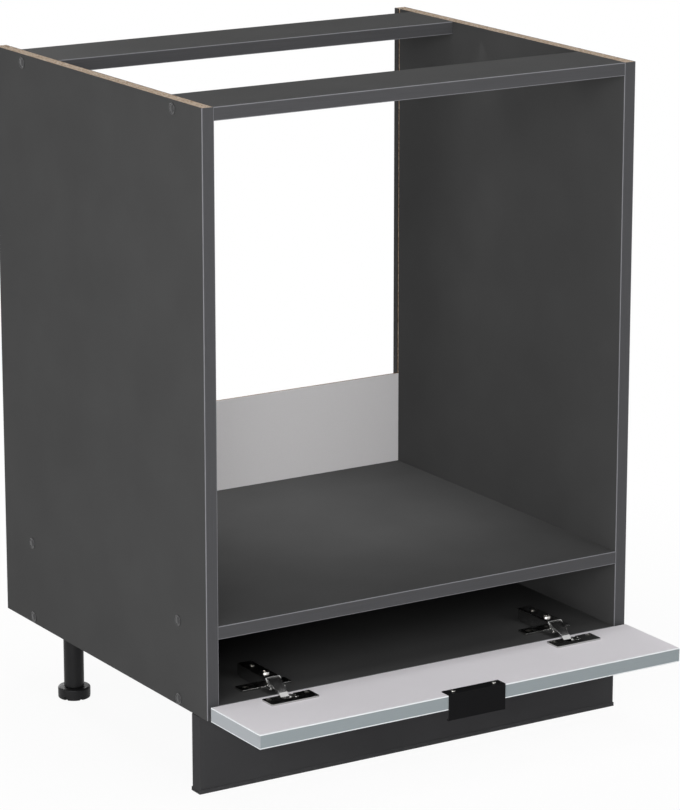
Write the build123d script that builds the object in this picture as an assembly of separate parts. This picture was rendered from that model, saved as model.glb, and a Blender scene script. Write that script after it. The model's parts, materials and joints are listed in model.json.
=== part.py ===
from build123d import *
from math import atan2, cos, degrees, radians, sin, sqrt
import os

os.makedirs("parts", exist_ok=True)

# An oven housing unit, shown with its fold down flap open.
# X runs to the right, Y runs to the rear and Z runs up.
# The plan below measures Y from the front of the carcass and Z from the underside
# of the carcass. Each piece is moved to the part's own frame when it is written.

# Carcass
carcass_width = 600.0
carcass_depth = 510.0
carcass_height = 724.0
board_thickness = 16.0
edge_band_thickness = 0.8
oven_shelf_top = 113.0
front_rail_depth = 97.0
rear_rail_depth = 97.0
rear_rail_start = 373.0

# Back strip of hardboard, held in grooves
back_panel_thickness = 3.0
back_panel_front = 497.5
back_panel_top = 234.0
back_groove_depth = 8.0
back_groove_clearance = 0.5
back_groove_side_play = 0.3

# Carcass screws, their cover caps and the dowels beside them
carcass_screw_front = 67.0
carcass_screw_rear = 437.0
carcass_screw_length = 50.0
carcass_screw_radius = 3.5
carcass_screw_head_radius = 5.0
carcass_screw_head_height = 3.0
carcass_screw_socket_radius = 2.2
carcass_screw_socket_depth = 2.6
rail_screw_drop = 10.5
screw_cap_radius = 7.0
screw_cap_height = 1.6
screw_cap_rim = 1.2
screw_cap_stem_length = 2.2
screw_hole_clearance = 0.1
dowel_radius = 4.0
dowel_length = 30.0
dowel_panel_depth = 12.0
dowel_spacing = 32.0
dowel_end_play = 0.5

# Flap, measured as it lies open
flap_side_gap = 2.0
flap_length = 111.2
flap_thickness = 18.0
flap_open_gap = 5.3
flap_closed_gap = 3.0
flap_band_thickness = 0.8

# Concealed hinges
hinge_side_distance = 97.0
hinge_arm_width = 20.0
hinge_arm_start = 14.0
hinge_arm_end = 79.0
hinge_arm_top = 33.5
hinge_arm_underside = 19.0
hinge_cheek_rise = 3.0
hinge_nose_margin = 0.4
hinge_nose_half_height = 1.2
hinge_nose_bevel = 1.4
hinge_sheet = 1.2
hinge_fixing_screw_y = 31.0
hinge_fixing_screw_radius = 5.5
hinge_fixing_screw_height = 1.8
hinge_fixing_shank_radius = 2.5
hinge_adjusting_screw_y = 62.0
hinge_adjusting_screw_radius = 3.2
hinge_adjusting_screw_height = 1.0
hinge_adjusting_shank_radius = 2.0
hinge_shank_length = 8.0
hinge_pin_radius = 1.25
hinge_running_fit = 0.05
hinge_play = 0.3
hinge_slot_margin = 1.2
strap_pivot_y = 9.5
strap_pivot_z = 26.0
strap_top_width = 17.0
strap_foot_width = 11.6
strap_knuckle_radius = 1.9
strap_eye_radius = 3.4
strap_crown_rear = 3.0
strap_crown_front = 1.5
strap_bend_forward = 20.0
strap_bend_rise = 3.2
strap_neck_drop = 1.0
strap_rim_clearance = 0.4
strap_edge_clearance = 1.1
strap_edge_reach = 1.0
strap_relief_height = 3.4
strap_relief_half = 2.0
strap_taper_start = 4.0
link_pivot_y = 3.5
link_pivot_z = 22.5
link_width = 5.0
link_thickness = 1.2
link_eye_radius = 2.0
link_reach = 12.4
link_drop = 13.5
link_far_depth = 2.15

# Mounting plates
plate_wing_width = 68.0
plate_wing_start = 26.0
plate_wing_depth = 19.0
plate_wing_thickness = 2.5
plate_ridge_width = 16.6
plate_ridge_start = 25.0
plate_ridge_end = 77.0
plate_screw_spread = 24.0
plate_screw_radius = 2.0
plate_screw_head_radius = 4.0
plate_screw_length = 13.0

# Hinge cups
cup_radius = 13.0
cup_depth = 12.0
cup_wall = 0.6
cup_edge_distance = 3.0
cup_pin_depth = 5.5
cup_bore_clearance = 0.1
cup_plate_width = 65.0
cup_plate_start = 10.2
cup_plate_depth = 24.0
cup_plate_thickness = 2.0
cup_plate_corner = 1.5
cup_mouth_width = 20.0
cup_mouth_end = 24.5
cup_boss_radius = 2.6
cup_screw_spread = 26.0
cup_screw_radius = 1.75
cup_screw_head_radius = 3.5
cup_screw_length = 13.0

# Handle of folded sheet
handle_width = 80.0
handle_sheet = 1.3
handle_flange_depth = 15.0
handle_leg_drop = 13.5
handle_lip = 4.5
handle_screw_spread = 29.0
handle_screw_from_edge = 7.5
handle_screw_radius = 1.5
handle_screw_head_radius = 2.8
handle_screw_head_height = 1.2
handle_screw_length = 13.0

# Legs
leg_height = 98.0
leg_side_distance = 42.0
leg_front_distance = 67.5
leg_rear_distance = 412.0
leg_tube_radius = 12.7
leg_tube_bore = 10.5
leg_nut_height = 14.0
leg_socket_radius = 28.0
leg_socket_thickness = 4.0
leg_collar_wall = 3.0
leg_collar_height = 16.0
leg_socket_fit = 0.1
leg_screw_spread = 18.0
leg_screw_radius = 1.75
leg_screw_head_radius = 3.4
leg_screw_length = 14.0
foot_radius = 20.5
foot_height = 14.8
foot_edge_rounding = 2.0
foot_seat_gap = 0.3
foot_spindle_radius = 5.0
foot_spindle_length = 44.0
foot_spindle_fit = 0.08
foot_notch_count = 6
foot_notch_width = 3.6
foot_notch_height = 4.4
foot_notch_depth = 2.4

# Plinth
plinth_side_gap = 1.0
plinth_front = 20.3
plinth_thickness = 18.0
plinth_top_gap = 1.5
plinth_floor_gap = 0.6
seal_height = 5.0
seal_thickness = 0.8
seal_lip = 1.4
clip_width = 48.0
clip_height = 22.0
clip_plate_thickness = 3.0
clip_jaw_thickness = 3.0
clip_jaw_fit = 0.1
clip_jaw_past_centre = 6.0
clip_centre_height = 50.0
clip_screw_spread = 18.0
clip_screw_radius = 1.75
clip_screw_head_radius = 3.5
clip_screw_length = 14.0
screw_head_height = 1.8

# Places that follow from the sizes above
inner_width = carcass_width - 2 * board_thickness
handle_front = -(flap_open_gap + flap_length + handle_sheet)
middle_depth = (carcass_depth + handle_front) / 2
flap_inner_face = flap_thickness
flap_rear_edge = -flap_open_gap
flap_front_edge = flap_rear_edge - flap_length
groove_front = back_panel_front - back_groove_side_play
groove_rear = back_panel_front + back_panel_thickness + back_groove_clearance
cup_centre_y = flap_rear_edge - cup_edge_distance - cup_radius
cup_screw_y = cup_centre_y
plate_screw_y = plate_wing_start + plate_wing_depth / 2
handle_screw_y = flap_front_edge + handle_screw_from_edge
plinth_rear = plinth_front + plinth_thickness
rail_underside = carcass_height - board_thickness
rail_screw_height = carcass_height - rail_screw_drop
hinge_offset = carcass_width / 2 - hinge_side_distance
hinge_places = {"left": -hinge_offset, "right": hinge_offset}


def box(x_low, x_high, y_low, y_high, z_low, z_high):
    """A block between two corners."""
    size = (x_high - x_low, y_high - y_low, z_high - z_low)
    block = Box(*size, align=(Align.MIN, Align.MIN, Align.MIN))
    return Pos(x_low, y_low, z_low) * block


def rod(x_low, x_high, y, z, radius):
    """A round rod along X."""
    return Pos((x_low + x_high) / 2, y, z) * Rot(0, 90, 0) * Cylinder(radius, x_high - x_low)


def post(x, y, z_low, z_high, radius):
    """A round rod along Z."""
    return Pos(x, y, (z_low + z_high) / 2) * Cylinder(radius, z_high - z_low)


def slab(points, x_low, x_high):
    """A prism across X with an outline of (y, z) points."""
    wire = Polyline(*[(0, y, z) for y, z in points], close=True)
    face = make_face(wire)
    return Pos(x_low, 0, 0) * extrude(face, x_high - x_low, dir=(1, 0, 0))


def write(shape, name):
    """Move a piece to the part's own frame and write it."""
    shape = Pos(0, -middle_depth, leg_height) * shape
    export_step(shape, "parts/" + name + ".step")


def write_group(shapes, name):
    """Write several separate solids as one node."""
    write(Compound(children=list(shapes)), name)


def board_joints():
    """Each screw's depth and height, with the depth and height of the dowel beside it."""
    shelf_middle = oven_shelf_top - board_thickness / 2
    bottom_middle = board_thickness / 2
    rail_middle = carcass_height - board_thickness / 2
    joints = []
    for level in (bottom_middle, shelf_middle):
        joints.append((carcass_screw_front, level, carcass_screw_front + dowel_spacing, level))
        joints.append((carcass_screw_rear, level, carcass_screw_rear - dowel_spacing, level))
    for screw_y in (carcass_screw_front, carcass_screw_rear):
        joints.append((screw_y, rail_screw_height, screw_y - dowel_spacing, rail_middle))
    return joints


def across(side, inner, outer):
    """Two X values in rising order, on one side of the middle."""
    return sorted((side * inner, side * outer))


def screw_body(side, y, z, extra=0.0):
    """One carcass screw, or with extra the hole that it sits in."""
    outer_face = carcass_width / 2
    shank = rod(*across(side, outer_face - carcass_screw_length - extra, outer_face), y, z,
                carcass_screw_radius + extra)
    head = rod(*across(side, outer_face - carcass_screw_head_height - extra, outer_face), y, z,
               carcass_screw_head_radius + extra)
    return shank + head


def dowel_body(side, y, z, extra=0.0, play=0.0):
    """One dowel, or with extra and play the blind hole that it sits in."""
    joint_face = inner_width / 2
    inner_end = joint_face - (dowel_length - dowel_panel_depth) - play
    outer_end = joint_face + dowel_panel_depth + play
    return rod(*across(side, inner_end, outer_end), y, z, dowel_radius + extra)


def joint_holes(side):
    """Every screw and dowel hole on one side."""
    holes = []
    for screw_y, screw_z, dowel_y, dowel_z in board_joints():
        holes.append(screw_body(side, screw_y, screw_z, screw_hole_clearance))
        holes.append(dowel_body(side, dowel_y, dowel_z, screw_hole_clearance, dowel_end_play))
    return holes


def side_panel(side):
    """One side panel with its back groove and its holes."""
    panel = box(*across(side, inner_width / 2, carcass_width / 2),
                edge_band_thickness, carcass_depth, 0, carcass_height)
    groove = box(*across(side, inner_width / 2 - 1, inner_width / 2 + back_groove_depth),
                 groove_front, groove_rear, -1, carcass_height + 1)
    return panel - groove - joint_holes(side)


def cross_board(y_low, y_high, z_low):
    """A level board between the side panels, drilled at both ends."""
    board = box(-inner_width / 2, inner_width / 2, y_low, y_high, z_low, z_low + board_thickness)
    for side in (-1, 1):
        near = []
        for hole in joint_holes(side):
            middle = hole.bounding_box().center()
            if y_low < middle.Y < y_high and z_low < middle.Z < z_low + board_thickness:
                near.append(hole)
        board = board - near
    return board


def front_band(x_low, x_high, z_low, z_high, y_face=0.0):
    """A front edge band with its two long outer edges eased."""
    band = box(x_low, x_high, y_face, y_face + edge_band_thickness, z_low, z_high)
    front_edges = band.edges().filter_by_position(Axis.Y, y_face - 0.01, y_face + 0.01)
    along = Axis.Z if z_high - z_low > x_high - x_low else Axis.X
    return fillet(front_edges.filter_by(along), edge_band_thickness / 2)


def screw_cap(side, y, z):
    """A domed cover cap with a flat rim, a shallow dish and a stem for the screw's socket."""
    face = carcass_width / 2
    disc = rod(*across(side, face, face + screw_cap_height), y, z, screw_cap_radius)
    outer = disc.edges().filter_by(GeomType.CIRCLE).sort_by(Axis.X)
    disc = fillet(outer[-1] if side > 0 else outer[0], screw_cap_height * 0.6)
    dish = rod(*across(side, face + screw_cap_height - 0.5, face + screw_cap_height + 1), y, z,
               screw_cap_radius - 2 * screw_cap_rim)
    stem = rod(*across(side, face - screw_cap_stem_length, face), y, z,
               carcass_screw_socket_radius - screw_hole_clearance)
    return disc - dish + stem


def carcass_screw(side, y, z):
    """A carcass screw with the round socket that takes the cap's stem."""
    face = carcass_width / 2
    socket = rod(*across(side, face - carcass_screw_socket_depth, face + 1), y, z,
                 carcass_screw_socket_radius)
    return screw_body(side, y, z) - socket


def countersunk_screw(length, radius, head_radius):
    """A screw pointing down from z 0, with a coned head and a cross slot."""
    head = Pos(0, 0, -screw_head_height / 2) * Cone(radius, head_radius, screw_head_height)
    shank = post(0, 0, -length, -screw_head_height, radius)
    slot_depth = screw_head_height * 0.6
    slot = Box(head_radius * 1.1, head_radius * 0.28, 2 * slot_depth)
    return head + shank - slot - Rot(0, 0, 90) * slot


def countersunk_hole(length, radius, head_radius):
    """The hole that a countersunk screw sits in."""
    clear = screw_hole_clearance
    head = Pos(0, 0, -screw_head_height / 2) * Cone(radius + clear, head_radius + clear,
                                                    screw_head_height)
    shank = post(0, 0, -length - clear, -screw_head_height, radius + clear)
    return head + shank


def flap_depth_place(depth):
    """The Y of a point on the open flap, from its hinge edge."""
    return flap_rear_edge - depth


def far_pivot_distance(pivot_y, pivot_z, depth):
    """How far along the flap a link's far pivot lies, so that open and closed are one length."""
    closed_y = pivot_y + flap_closed_gap + depth
    open_y = pivot_y + flap_open_gap
    open_z = pivot_z - flap_inner_face + depth
    numerator = closed_y ** 2 + pivot_z ** 2 - open_y ** 2 - open_z ** 2
    return numerator / (2 * (open_y + pivot_z))


def turn_between(pivot, start, end):
    """The angle in degrees from one point to another, seen from a pivot."""
    first = atan2(start[1] - pivot[1], start[0] - pivot[0])
    last = atan2(end[1] - pivot[1], end[0] - pivot[0])
    return (degrees(last - first) + 180) % 360 - 180


def closing_turn(pivot_y, pivot_z, depth):
    """The angle that a link turns through as the flap closes."""
    along = far_pivot_distance(pivot_y, pivot_z, depth)
    start = (flap_depth_place(along), flap_inner_face - depth)
    end = (-flap_closed_gap - depth, along)
    return turn_between((pivot_y, pivot_z), start, end)


cup_pin_y = flap_depth_place(far_pivot_distance(strap_pivot_y, strap_pivot_z, cup_pin_depth))
cup_pin_z = flap_inner_face - cup_pin_depth


def strap_shape(place):
    """One hinge strap, a channel that slopes from the arm's nose down into the cup."""
    top_z = hinge_arm_top - hinge_sheet
    neck_y = cup_pin_y - strap_knuckle_radius
    heel_y = cup_pin_y + strap_knuckle_radius
    relief_z = link_pivot_z + strap_relief_height
    crown = [
        (strap_pivot_y + strap_crown_rear, top_z),
        (strap_pivot_y + strap_crown_front, top_z),
        (strap_pivot_y - strap_bend_forward, flap_inner_face + strap_bend_rise),
        (neck_y, flap_inner_face - strap_neck_drop),
    ]
    belly = [
        (neck_y, cup_pin_z),
        (heel_y, cup_pin_z),
        (heel_y, flap_inner_face + strap_rim_clearance),
        (flap_rear_edge - strap_edge_reach, flap_inner_face + strap_edge_clearance),
        (link_pivot_y - strap_relief_half, relief_z),
        (strap_pivot_y, relief_z),
        (strap_pivot_y + strap_crown_rear, strap_pivot_z),
    ]
    half = strap_top_width
    knuckle = rod(-half, half, cup_pin_y, cup_pin_z, strap_knuckle_radius)
    eye = rod(-half, half, strap_pivot_y, strap_pivot_z, strap_eye_radius)
    outer = slab(crown + belly, -half, half) + knuckle + eye
    outer = outer & strap_plan(strap_top_width, strap_foot_width)
    hollow = strap_hollow(crown) & strap_plan(strap_top_width - 2 * hinge_sheet,
                                              strap_foot_width - 2 * hinge_sheet)
    bore = hinge_pin_radius + hinge_running_fit
    bores = [rod(-half, half, strap_pivot_y, strap_pivot_z, bore),
             rod(-half, half, cup_pin_y, cup_pin_z, bore)]
    return Pos(place, 0, 0) * (outer - hollow - bores)


def strap_hollow(crown):
    """The space under a strap's top sheet, open below, at the rear and at the front."""
    rear, front, bend, neck = crown
    beyond = strap_top_width
    base_z = cup_pin_z - beyond
    roof = [
        (rear[0] + beyond, rear[1] - hinge_sheet),
        (front[0], front[1] - hinge_sheet),
        (bend[0], bend[1] - hinge_sheet),
        (neck[0] - hinge_sheet, neck[1] - hinge_sheet),
    ]
    base = [(neck[0] - hinge_sheet, base_z), (rear[0] + beyond, base_z)]
    return slab(roof + base, -beyond, beyond)


def strap_plan(top_width, foot_width):
    """A tapering plan for the strap, as a prism along Z."""
    taper_start = strap_pivot_y - strap_taper_start
    taper_end = cup_pin_y + strap_knuckle_radius
    rear = strap_pivot_y + 2 * strap_eye_radius
    front = cup_pin_y - 2 * strap_knuckle_radius
    corners = [(-top_width / 2, rear), (-top_width / 2, taper_start),
               (-foot_width / 2, taper_end), (-foot_width / 2, front)]
    mirrored = [(-x, y) for x, y in reversed(corners)]
    face = make_face(Polyline(*corners, *mirrored, close=True))
    return extrude(face, 2 * hinge_arm_top, dir=(0, 0, 1))


def inner_link(place):
    """The hidden inner link, a flat bar under the strap that ends short of its far pivot."""
    half = link_width / 2
    tip_y = link_pivot_y - link_reach * cos(radians(link_drop))
    tip_z = link_pivot_z - link_reach * sin(radians(link_drop))
    across_y = link_thickness / 2 * sin(radians(link_drop))
    across_z = link_thickness / 2 * cos(radians(link_drop))
    outline = [
        (link_pivot_y - across_y, link_pivot_z + across_z),
        (tip_y - across_y, tip_z + across_z),
        (tip_y + across_y, tip_z - across_z),
        (link_pivot_y + across_y, link_pivot_z - across_z),
    ]
    eye = rod(-half, half, link_pivot_y, link_pivot_z, link_eye_radius)
    tip = rod(-half, half, tip_y, tip_z, link_thickness / 2)
    bore = rod(-half - 1, half + 1, link_pivot_y, link_pivot_z,
               hinge_pin_radius + hinge_running_fit)
    return Pos(place, 0, 0) * (slab(outline, -half, half) + eye + tip - bore)


def hinge_arm(place):
    """The hinge arm, an inverted channel whose cheeks run forward to the two link pins."""
    half = hinge_arm_width / 2
    nose_y = link_pivot_y - link_eye_radius - hinge_nose_margin
    nose_low = link_pivot_z - hinge_nose_half_height
    nose_high = link_pivot_z + hinge_nose_half_height
    outline = [
        (hinge_arm_end, hinge_arm_underside),
        (hinge_arm_end, hinge_arm_top),
        (hinge_arm_start, hinge_arm_top),
        (strap_pivot_y, strap_pivot_z + hinge_cheek_rise),
        (nose_y + hinge_nose_bevel, nose_high + hinge_nose_bevel),
        (nose_y, nose_high),
        (nose_y, nose_low),
        (link_pivot_y, link_pivot_z - link_eye_radius - hinge_nose_margin),
        (hinge_arm_start, hinge_arm_underside),
    ]
    shell = slab(outline, -half, half)
    rear_top = shell.edges().filter_by(Axis.Y).sort_by(Axis.Z)[-2:]
    shell = fillet(rear_top, hinge_sheet * 0.9)
    inner = half - hinge_sheet
    hollow = box(-inner, inner, nose_y - 1, hinge_arm_end + 1, 0, hinge_arm_top - hinge_sheet)
    mouth = box(-inner, inner, nose_y - 1, hinge_arm_start, 0, hinge_arm_top + 1)
    slot_half = hinge_fixing_screw_radius - hinge_slot_margin
    slot_width = hinge_fixing_shank_radius + hinge_play
    slot = box(-slot_width, slot_width, hinge_fixing_screw_y - slot_half,
               hinge_fixing_screw_y + slot_half, 0, hinge_arm_top + 1)
    adjust = post(0, hinge_adjusting_screw_y, 0, hinge_arm_top + 1,
                  hinge_adjusting_shank_radius + screw_hole_clearance)
    bore = hinge_pin_radius + screw_hole_clearance / 4
    pins = [rod(-half - 1, half + 1, strap_pivot_y, strap_pivot_z, bore),
            rod(-half - 1, half + 1, link_pivot_y, link_pivot_z, bore)]
    return Pos(place, 0, 0) * (shell - hollow - mouth - slot - adjust - pins)


def machine_screw(x, y, seat, head_radius, head_height, shank_radius, length):
    """A screw with a flat domed head on a seat and a cross slot."""
    head = post(x, y, seat, seat + head_height, head_radius)
    top = head.edges().filter_by(GeomType.CIRCLE).sort_by(Axis.Z)[-1]
    head = fillet(top, head_height * 0.5)
    shank = post(x, y, seat - length, seat, shank_radius)
    slot = Pos(x, y, seat + head_height) * Box(head_radius * 1.3, head_radius * 0.3, head_height)
    return head + shank - slot


def hinge_plate(place):
    """A cross shaped mounting plate, with a ridge that carries the arm."""
    base = board_thickness
    wing = box(-plate_wing_width / 2, plate_wing_width / 2, plate_wing_start,
               plate_wing_start + plate_wing_depth, base, base + plate_wing_thickness)
    wing = fillet(wing.edges().filter_by(Axis.Z), plate_wing_thickness)
    ridge = box(-plate_ridge_width / 2, plate_ridge_width / 2, plate_ridge_start,
                plate_ridge_end, base, hinge_arm_top - hinge_sheet)
    fixing = post(0, hinge_fixing_screw_y, base + plate_wing_thickness, hinge_arm_top + 1,
                  hinge_fixing_shank_radius + screw_hole_clearance)
    adjust = post(0, hinge_adjusting_screw_y, base + plate_wing_thickness, hinge_arm_top + 1,
                  hinge_adjusting_shank_radius + screw_hole_clearance)
    plate = wing + ridge - fixing - adjust
    for side in (-1, 1):
        hole = countersunk_hole(plate_screw_length, plate_screw_radius, plate_screw_head_radius)
        plate = plate - Pos(side * plate_screw_spread, plate_screw_y,
                            base + plate_wing_thickness) * hole
    return Pos(place, 0, 0) * plate


def hinge_cup(place):
    """A pressed cup with its flange plate, an open mouth and bosses for the cup pin."""
    top = flap_inner_face
    shell = post(0, cup_centre_y, top - cup_depth, top, cup_radius)
    hollow = post(0, cup_centre_y, top - cup_depth + cup_wall, top + 1, cup_radius - cup_wall)
    bosses = rod(-cup_radius, cup_radius, cup_pin_y, cup_pin_z, cup_boss_radius)
    foot_clear = strap_foot_width / 2 + 2 * hinge_play
    gap = box(-foot_clear, foot_clear, cup_pin_y - cup_radius, cup_pin_y + cup_radius, 0, top + 1)
    inside = post(0, cup_centre_y, top - cup_depth, top, cup_radius - cup_wall / 2)
    bosses = (bosses - gap) & inside
    plate_y = flap_depth_place(cup_plate_start)
    plate = box(-cup_plate_width / 2, cup_plate_width / 2, plate_y - cup_plate_depth, plate_y,
                top, top + cup_plate_thickness)
    plate = fillet(plate.edges().filter_by(Axis.Z), cup_plate_corner)
    mouth = box(-cup_mouth_width / 2, cup_mouth_width / 2, flap_depth_place(cup_mouth_end),
                plate_y + 1, top - 1, top + cup_plate_thickness + 1)
    mouth = mouth & inside_prism(cup_radius - cup_wall)
    cup = shell - hollow + bosses + (plate - mouth)
    cup = cup - rod(-cup_radius, cup_radius, cup_pin_y, cup_pin_z,
                    hinge_pin_radius + screw_hole_clearance / 4)
    for side in (-1, 1):
        hole = countersunk_hole(cup_screw_length, cup_screw_radius, cup_screw_head_radius)
        cup = cup - Pos(side * cup_screw_spread, cup_screw_y, top + cup_plate_thickness) * hole
    return Pos(place, 0, 0) * cup


def inside_prism(radius):
    """A tall round prism on the cup's own middle."""
    return post(0, cup_centre_y, 0, 2 * hinge_arm_top, radius)


def cup_pin(place):
    """The short pin between the cup's bosses that the strap turns on."""
    reach = sqrt((cup_radius - cup_wall) ** 2 - (cup_pin_y - cup_centre_y) ** 2) - hinge_play
    return rod(place - reach, place + reach, cup_pin_y, cup_pin_z, hinge_pin_radius)


def flap_panel():
    """The flap's board, with cup holes and screw holes, without its edge bands."""
    half = carcass_width / 2 - flap_side_gap - flap_band_thickness
    panel = box(-half, half, flap_front_edge + flap_band_thickness,
                flap_rear_edge - flap_band_thickness, 0, flap_thickness)
    for place in hinge_places.values():
        panel = panel - post(place, cup_centre_y, flap_inner_face - cup_depth - cup_bore_clearance,
                             flap_thickness + 1, cup_radius + cup_bore_clearance)
        for side in (-1, 1):
            hole = countersunk_hole(cup_screw_length, cup_screw_radius, cup_screw_head_radius)
            panel = panel - Pos(place + side * cup_screw_spread, cup_screw_y,
                                flap_inner_face + cup_plate_thickness) * hole
    for side in (-1, 1):
        panel = panel - post(side * handle_screw_spread, handle_screw_y,
                             flap_inner_face - handle_screw_length, flap_thickness + 1,
                             handle_screw_radius + screw_hole_clearance)
    return panel


def flap_bands():
    """The four edge bands of the flap, long ones between the short ones."""
    half = carcass_width / 2 - flap_side_gap
    band = flap_band_thickness
    long_half = half - band
    bands = {
        "flap_left_edge_band": box(-half, -long_half, flap_front_edge, flap_rear_edge,
                                   0, flap_thickness),
        "flap_right_edge_band": box(long_half, half, flap_front_edge, flap_rear_edge,
                                    0, flap_thickness),
        "flap_hinge_edge_band": box(-long_half, long_half, flap_rear_edge - band,
                                    flap_rear_edge, 0, flap_thickness),
        "flap_free_edge_band": box(-long_half, long_half, flap_front_edge,
                                   flap_front_edge + band, 0, flap_thickness),
    }
    return bands


def flap_handle():
    """A handle of folded sheet: a flange on the flap, a leg past its edge and a lip."""
    top = flap_inner_face + handle_sheet
    front = flap_front_edge - handle_sheet
    base = -handle_leg_drop
    outline = [
        (flap_front_edge + handle_flange_depth, flap_inner_face),
        (flap_front_edge + handle_flange_depth, top),
        (front, top),
        (front, base),
        (front + handle_lip, base),
        (front + handle_lip, base + handle_sheet),
        (flap_front_edge, base + handle_sheet),
        (flap_front_edge, flap_inner_face),
    ]
    shape = slab(outline, -handle_width / 2, handle_width / 2)
    bends = shape.edges().filter_by(Axis.X)
    outer_bends = [edge for edge in bends if abs(edge.center().Y - front) < 0.01]
    shape = fillet(outer_bends, handle_sheet * 0.8)
    for side in (-1, 1):
        shape = shape - post(side * handle_screw_spread, handle_screw_y, flap_inner_face - 1,
                             top + 1, handle_screw_radius + screw_hole_clearance)
    return shape


def leg_places():
    """The name, X and Y of each leg."""
    reach = carcass_width / 2 - leg_side_distance
    places = []
    for end, y in (("front", leg_front_distance), ("rear", leg_rear_distance)):
        for side, x in (("left", -reach), ("right", reach)):
            places.append((end + "_" + side, x, y))
    return places


def leg_screw_offsets():
    """The four screw places around a leg, from its middle."""
    return [(i * leg_screw_spread, j * leg_screw_spread) for i in (-1, 1) for j in (-1, 1)]


def leg_socket(x, y):
    """A round flange under the bottom panel, with a collar for the leg tube."""
    flange = post(0, 0, -leg_socket_thickness, 0, leg_socket_radius)
    rim = flange.edges().filter_by(GeomType.CIRCLE).sort_by(Axis.Z)[0]
    flange = chamfer(rim, 1.0)
    fit = leg_tube_radius + leg_socket_fit
    collar = post(0, 0, -leg_collar_height, -leg_socket_thickness, fit + leg_collar_wall)
    seat = post(0, 0, -leg_collar_height - 1, -leg_socket_thickness, fit)
    socket = flange + collar - seat
    for i, j in leg_screw_offsets():
        hole = countersunk_hole(leg_screw_length, leg_screw_radius, leg_screw_head_radius)
        socket = socket - Pos(i, j, -leg_socket_thickness) * Rot(180, 0, 0) * hole
    return Pos(x, y, 0) * socket


def leg_tube(x, y):
    """A leg tube, hollow above and with a nut for the foot's spindle below."""
    low = -leg_height + foot_height + foot_seat_gap
    high = -leg_socket_thickness - leg_socket_fit
    tube = post(0, 0, low, high, leg_tube_radius)
    lower_edge = tube.edges().filter_by(GeomType.CIRCLE).sort_by(Axis.Z)[0]
    tube = chamfer(lower_edge, 0.6)
    hollow = post(0, 0, low + leg_nut_height, high + 1, leg_tube_bore)
    bore = post(0, 0, low - 1, high, foot_spindle_radius + foot_spindle_fit)
    return Pos(x, y, 0) * (tube - hollow - bore)


def leg_foot(x, y):
    """A screw foot: a notched disc with the spindle that runs up inside the leg."""
    low = -leg_height
    disc = post(0, 0, low, low + foot_height, foot_radius)
    disc = fillet(disc.edges().filter_by(GeomType.CIRCLE), foot_edge_rounding)
    notch = Pos(foot_radius, 0, low) * Box(2 * foot_notch_depth, foot_notch_width,
                                           2 * foot_notch_height)
    for step in range(foot_notch_count):
        turn = 360 / foot_notch_count * (step + 0.5)
        disc = disc - Rot(0, 0, turn) * notch
    spindle = post(0, 0, low + foot_height, low + foot_height + foot_spindle_length,
                   foot_spindle_radius)
    return Pos(x, y, 0) * (disc + spindle)


def plinth_panel():
    """The plinth board, drilled at the rear for its clips."""
    half = carcass_width / 2 - plinth_side_gap
    low = -leg_height + plinth_floor_gap + seal_lip
    panel = box(-half, half, plinth_front, plinth_rear, low, -plinth_top_gap)
    for x, y, z in clip_screw_places():
        hole = countersunk_hole(clip_screw_length, clip_screw_radius, clip_screw_head_radius)
        panel = panel - Pos(x, y, z) * Rot(-90, 0, 0) * hole
    return panel


def plinth_seal():
    """A channel of soft plastic pushed over the plinth's lower edge."""
    half = carcass_width / 2
    low = -leg_height + plinth_floor_gap
    outer = box(-half, half, plinth_front - seal_thickness, plinth_rear + seal_thickness,
                low, low + seal_height)
    upper = outer.edges().filter_by(Axis.X).sort_by(Axis.Z)[-2:]
    outer = chamfer(upper, seal_thickness * 0.5)
    slot = box(-half - 1, half + 1, plinth_front, plinth_rear, low + seal_lip,
               low + seal_height + 1)
    return outer - slot


def front_leg_places():
    """The side name and X of the two front legs."""
    reach = carcass_width / 2 - leg_side_distance
    return {"left": -reach, "right": reach}


def clip_screw_places():
    """The X, Y and Z of each clip screw's head, on the rear of its clip."""
    places = []
    for x in front_leg_places().values():
        for side in (-1, 1):
            places.append((x + side * clip_screw_spread, plinth_rear + clip_plate_thickness,
                           -clip_centre_height))
    return places


def plinth_clip(x):
    """A clip on the plinth's rear with two straight jaws that pass beside a front leg."""
    low = -clip_centre_height - clip_height / 2
    high = -clip_centre_height + clip_height / 2
    back = box(x - clip_width / 2, x + clip_width / 2, plinth_rear,
               plinth_rear + clip_plate_thickness, low, high)
    inner = leg_tube_radius + clip_jaw_fit
    outer = inner + clip_jaw_thickness
    reach = leg_front_distance + clip_jaw_past_centre
    jaws = box(x - outer, x + outer, plinth_rear, reach, low, high)
    gap = box(x - inner, x + inner, plinth_rear + clip_plate_thickness, reach + 1,
              low - 1, high + 1)
    clip = back + jaws - gap
    for screw_x, y, z in clip_screw_places():
        if abs(screw_x - x) < clip_width:
            hole = countersunk_hole(clip_screw_length, clip_screw_radius, clip_screw_head_radius)
            clip = clip - Pos(screw_x, y, z) * Rot(-90, 0, 0) * hole
    return clip


def bottom_panel():
    """The bottom board, drilled for the hinge plates and the leg sockets."""
    panel = cross_board(edge_band_thickness, groove_front, 0)
    for place in hinge_places.values():
        for side in (-1, 1):
            hole = countersunk_hole(plate_screw_length, plate_screw_radius,
                                    plate_screw_head_radius)
            panel = panel - Pos(place + side * plate_screw_spread, plate_screw_y,
                                board_thickness + plate_wing_thickness) * hole
    for name, x, y in leg_places():
        for i, j in leg_screw_offsets():
            hole = countersunk_hole(leg_screw_length, leg_screw_radius, leg_screw_head_radius)
            panel = panel - Pos(x + i, y + j, -leg_socket_thickness) * Rot(180, 0, 0) * hole
    return panel


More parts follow.
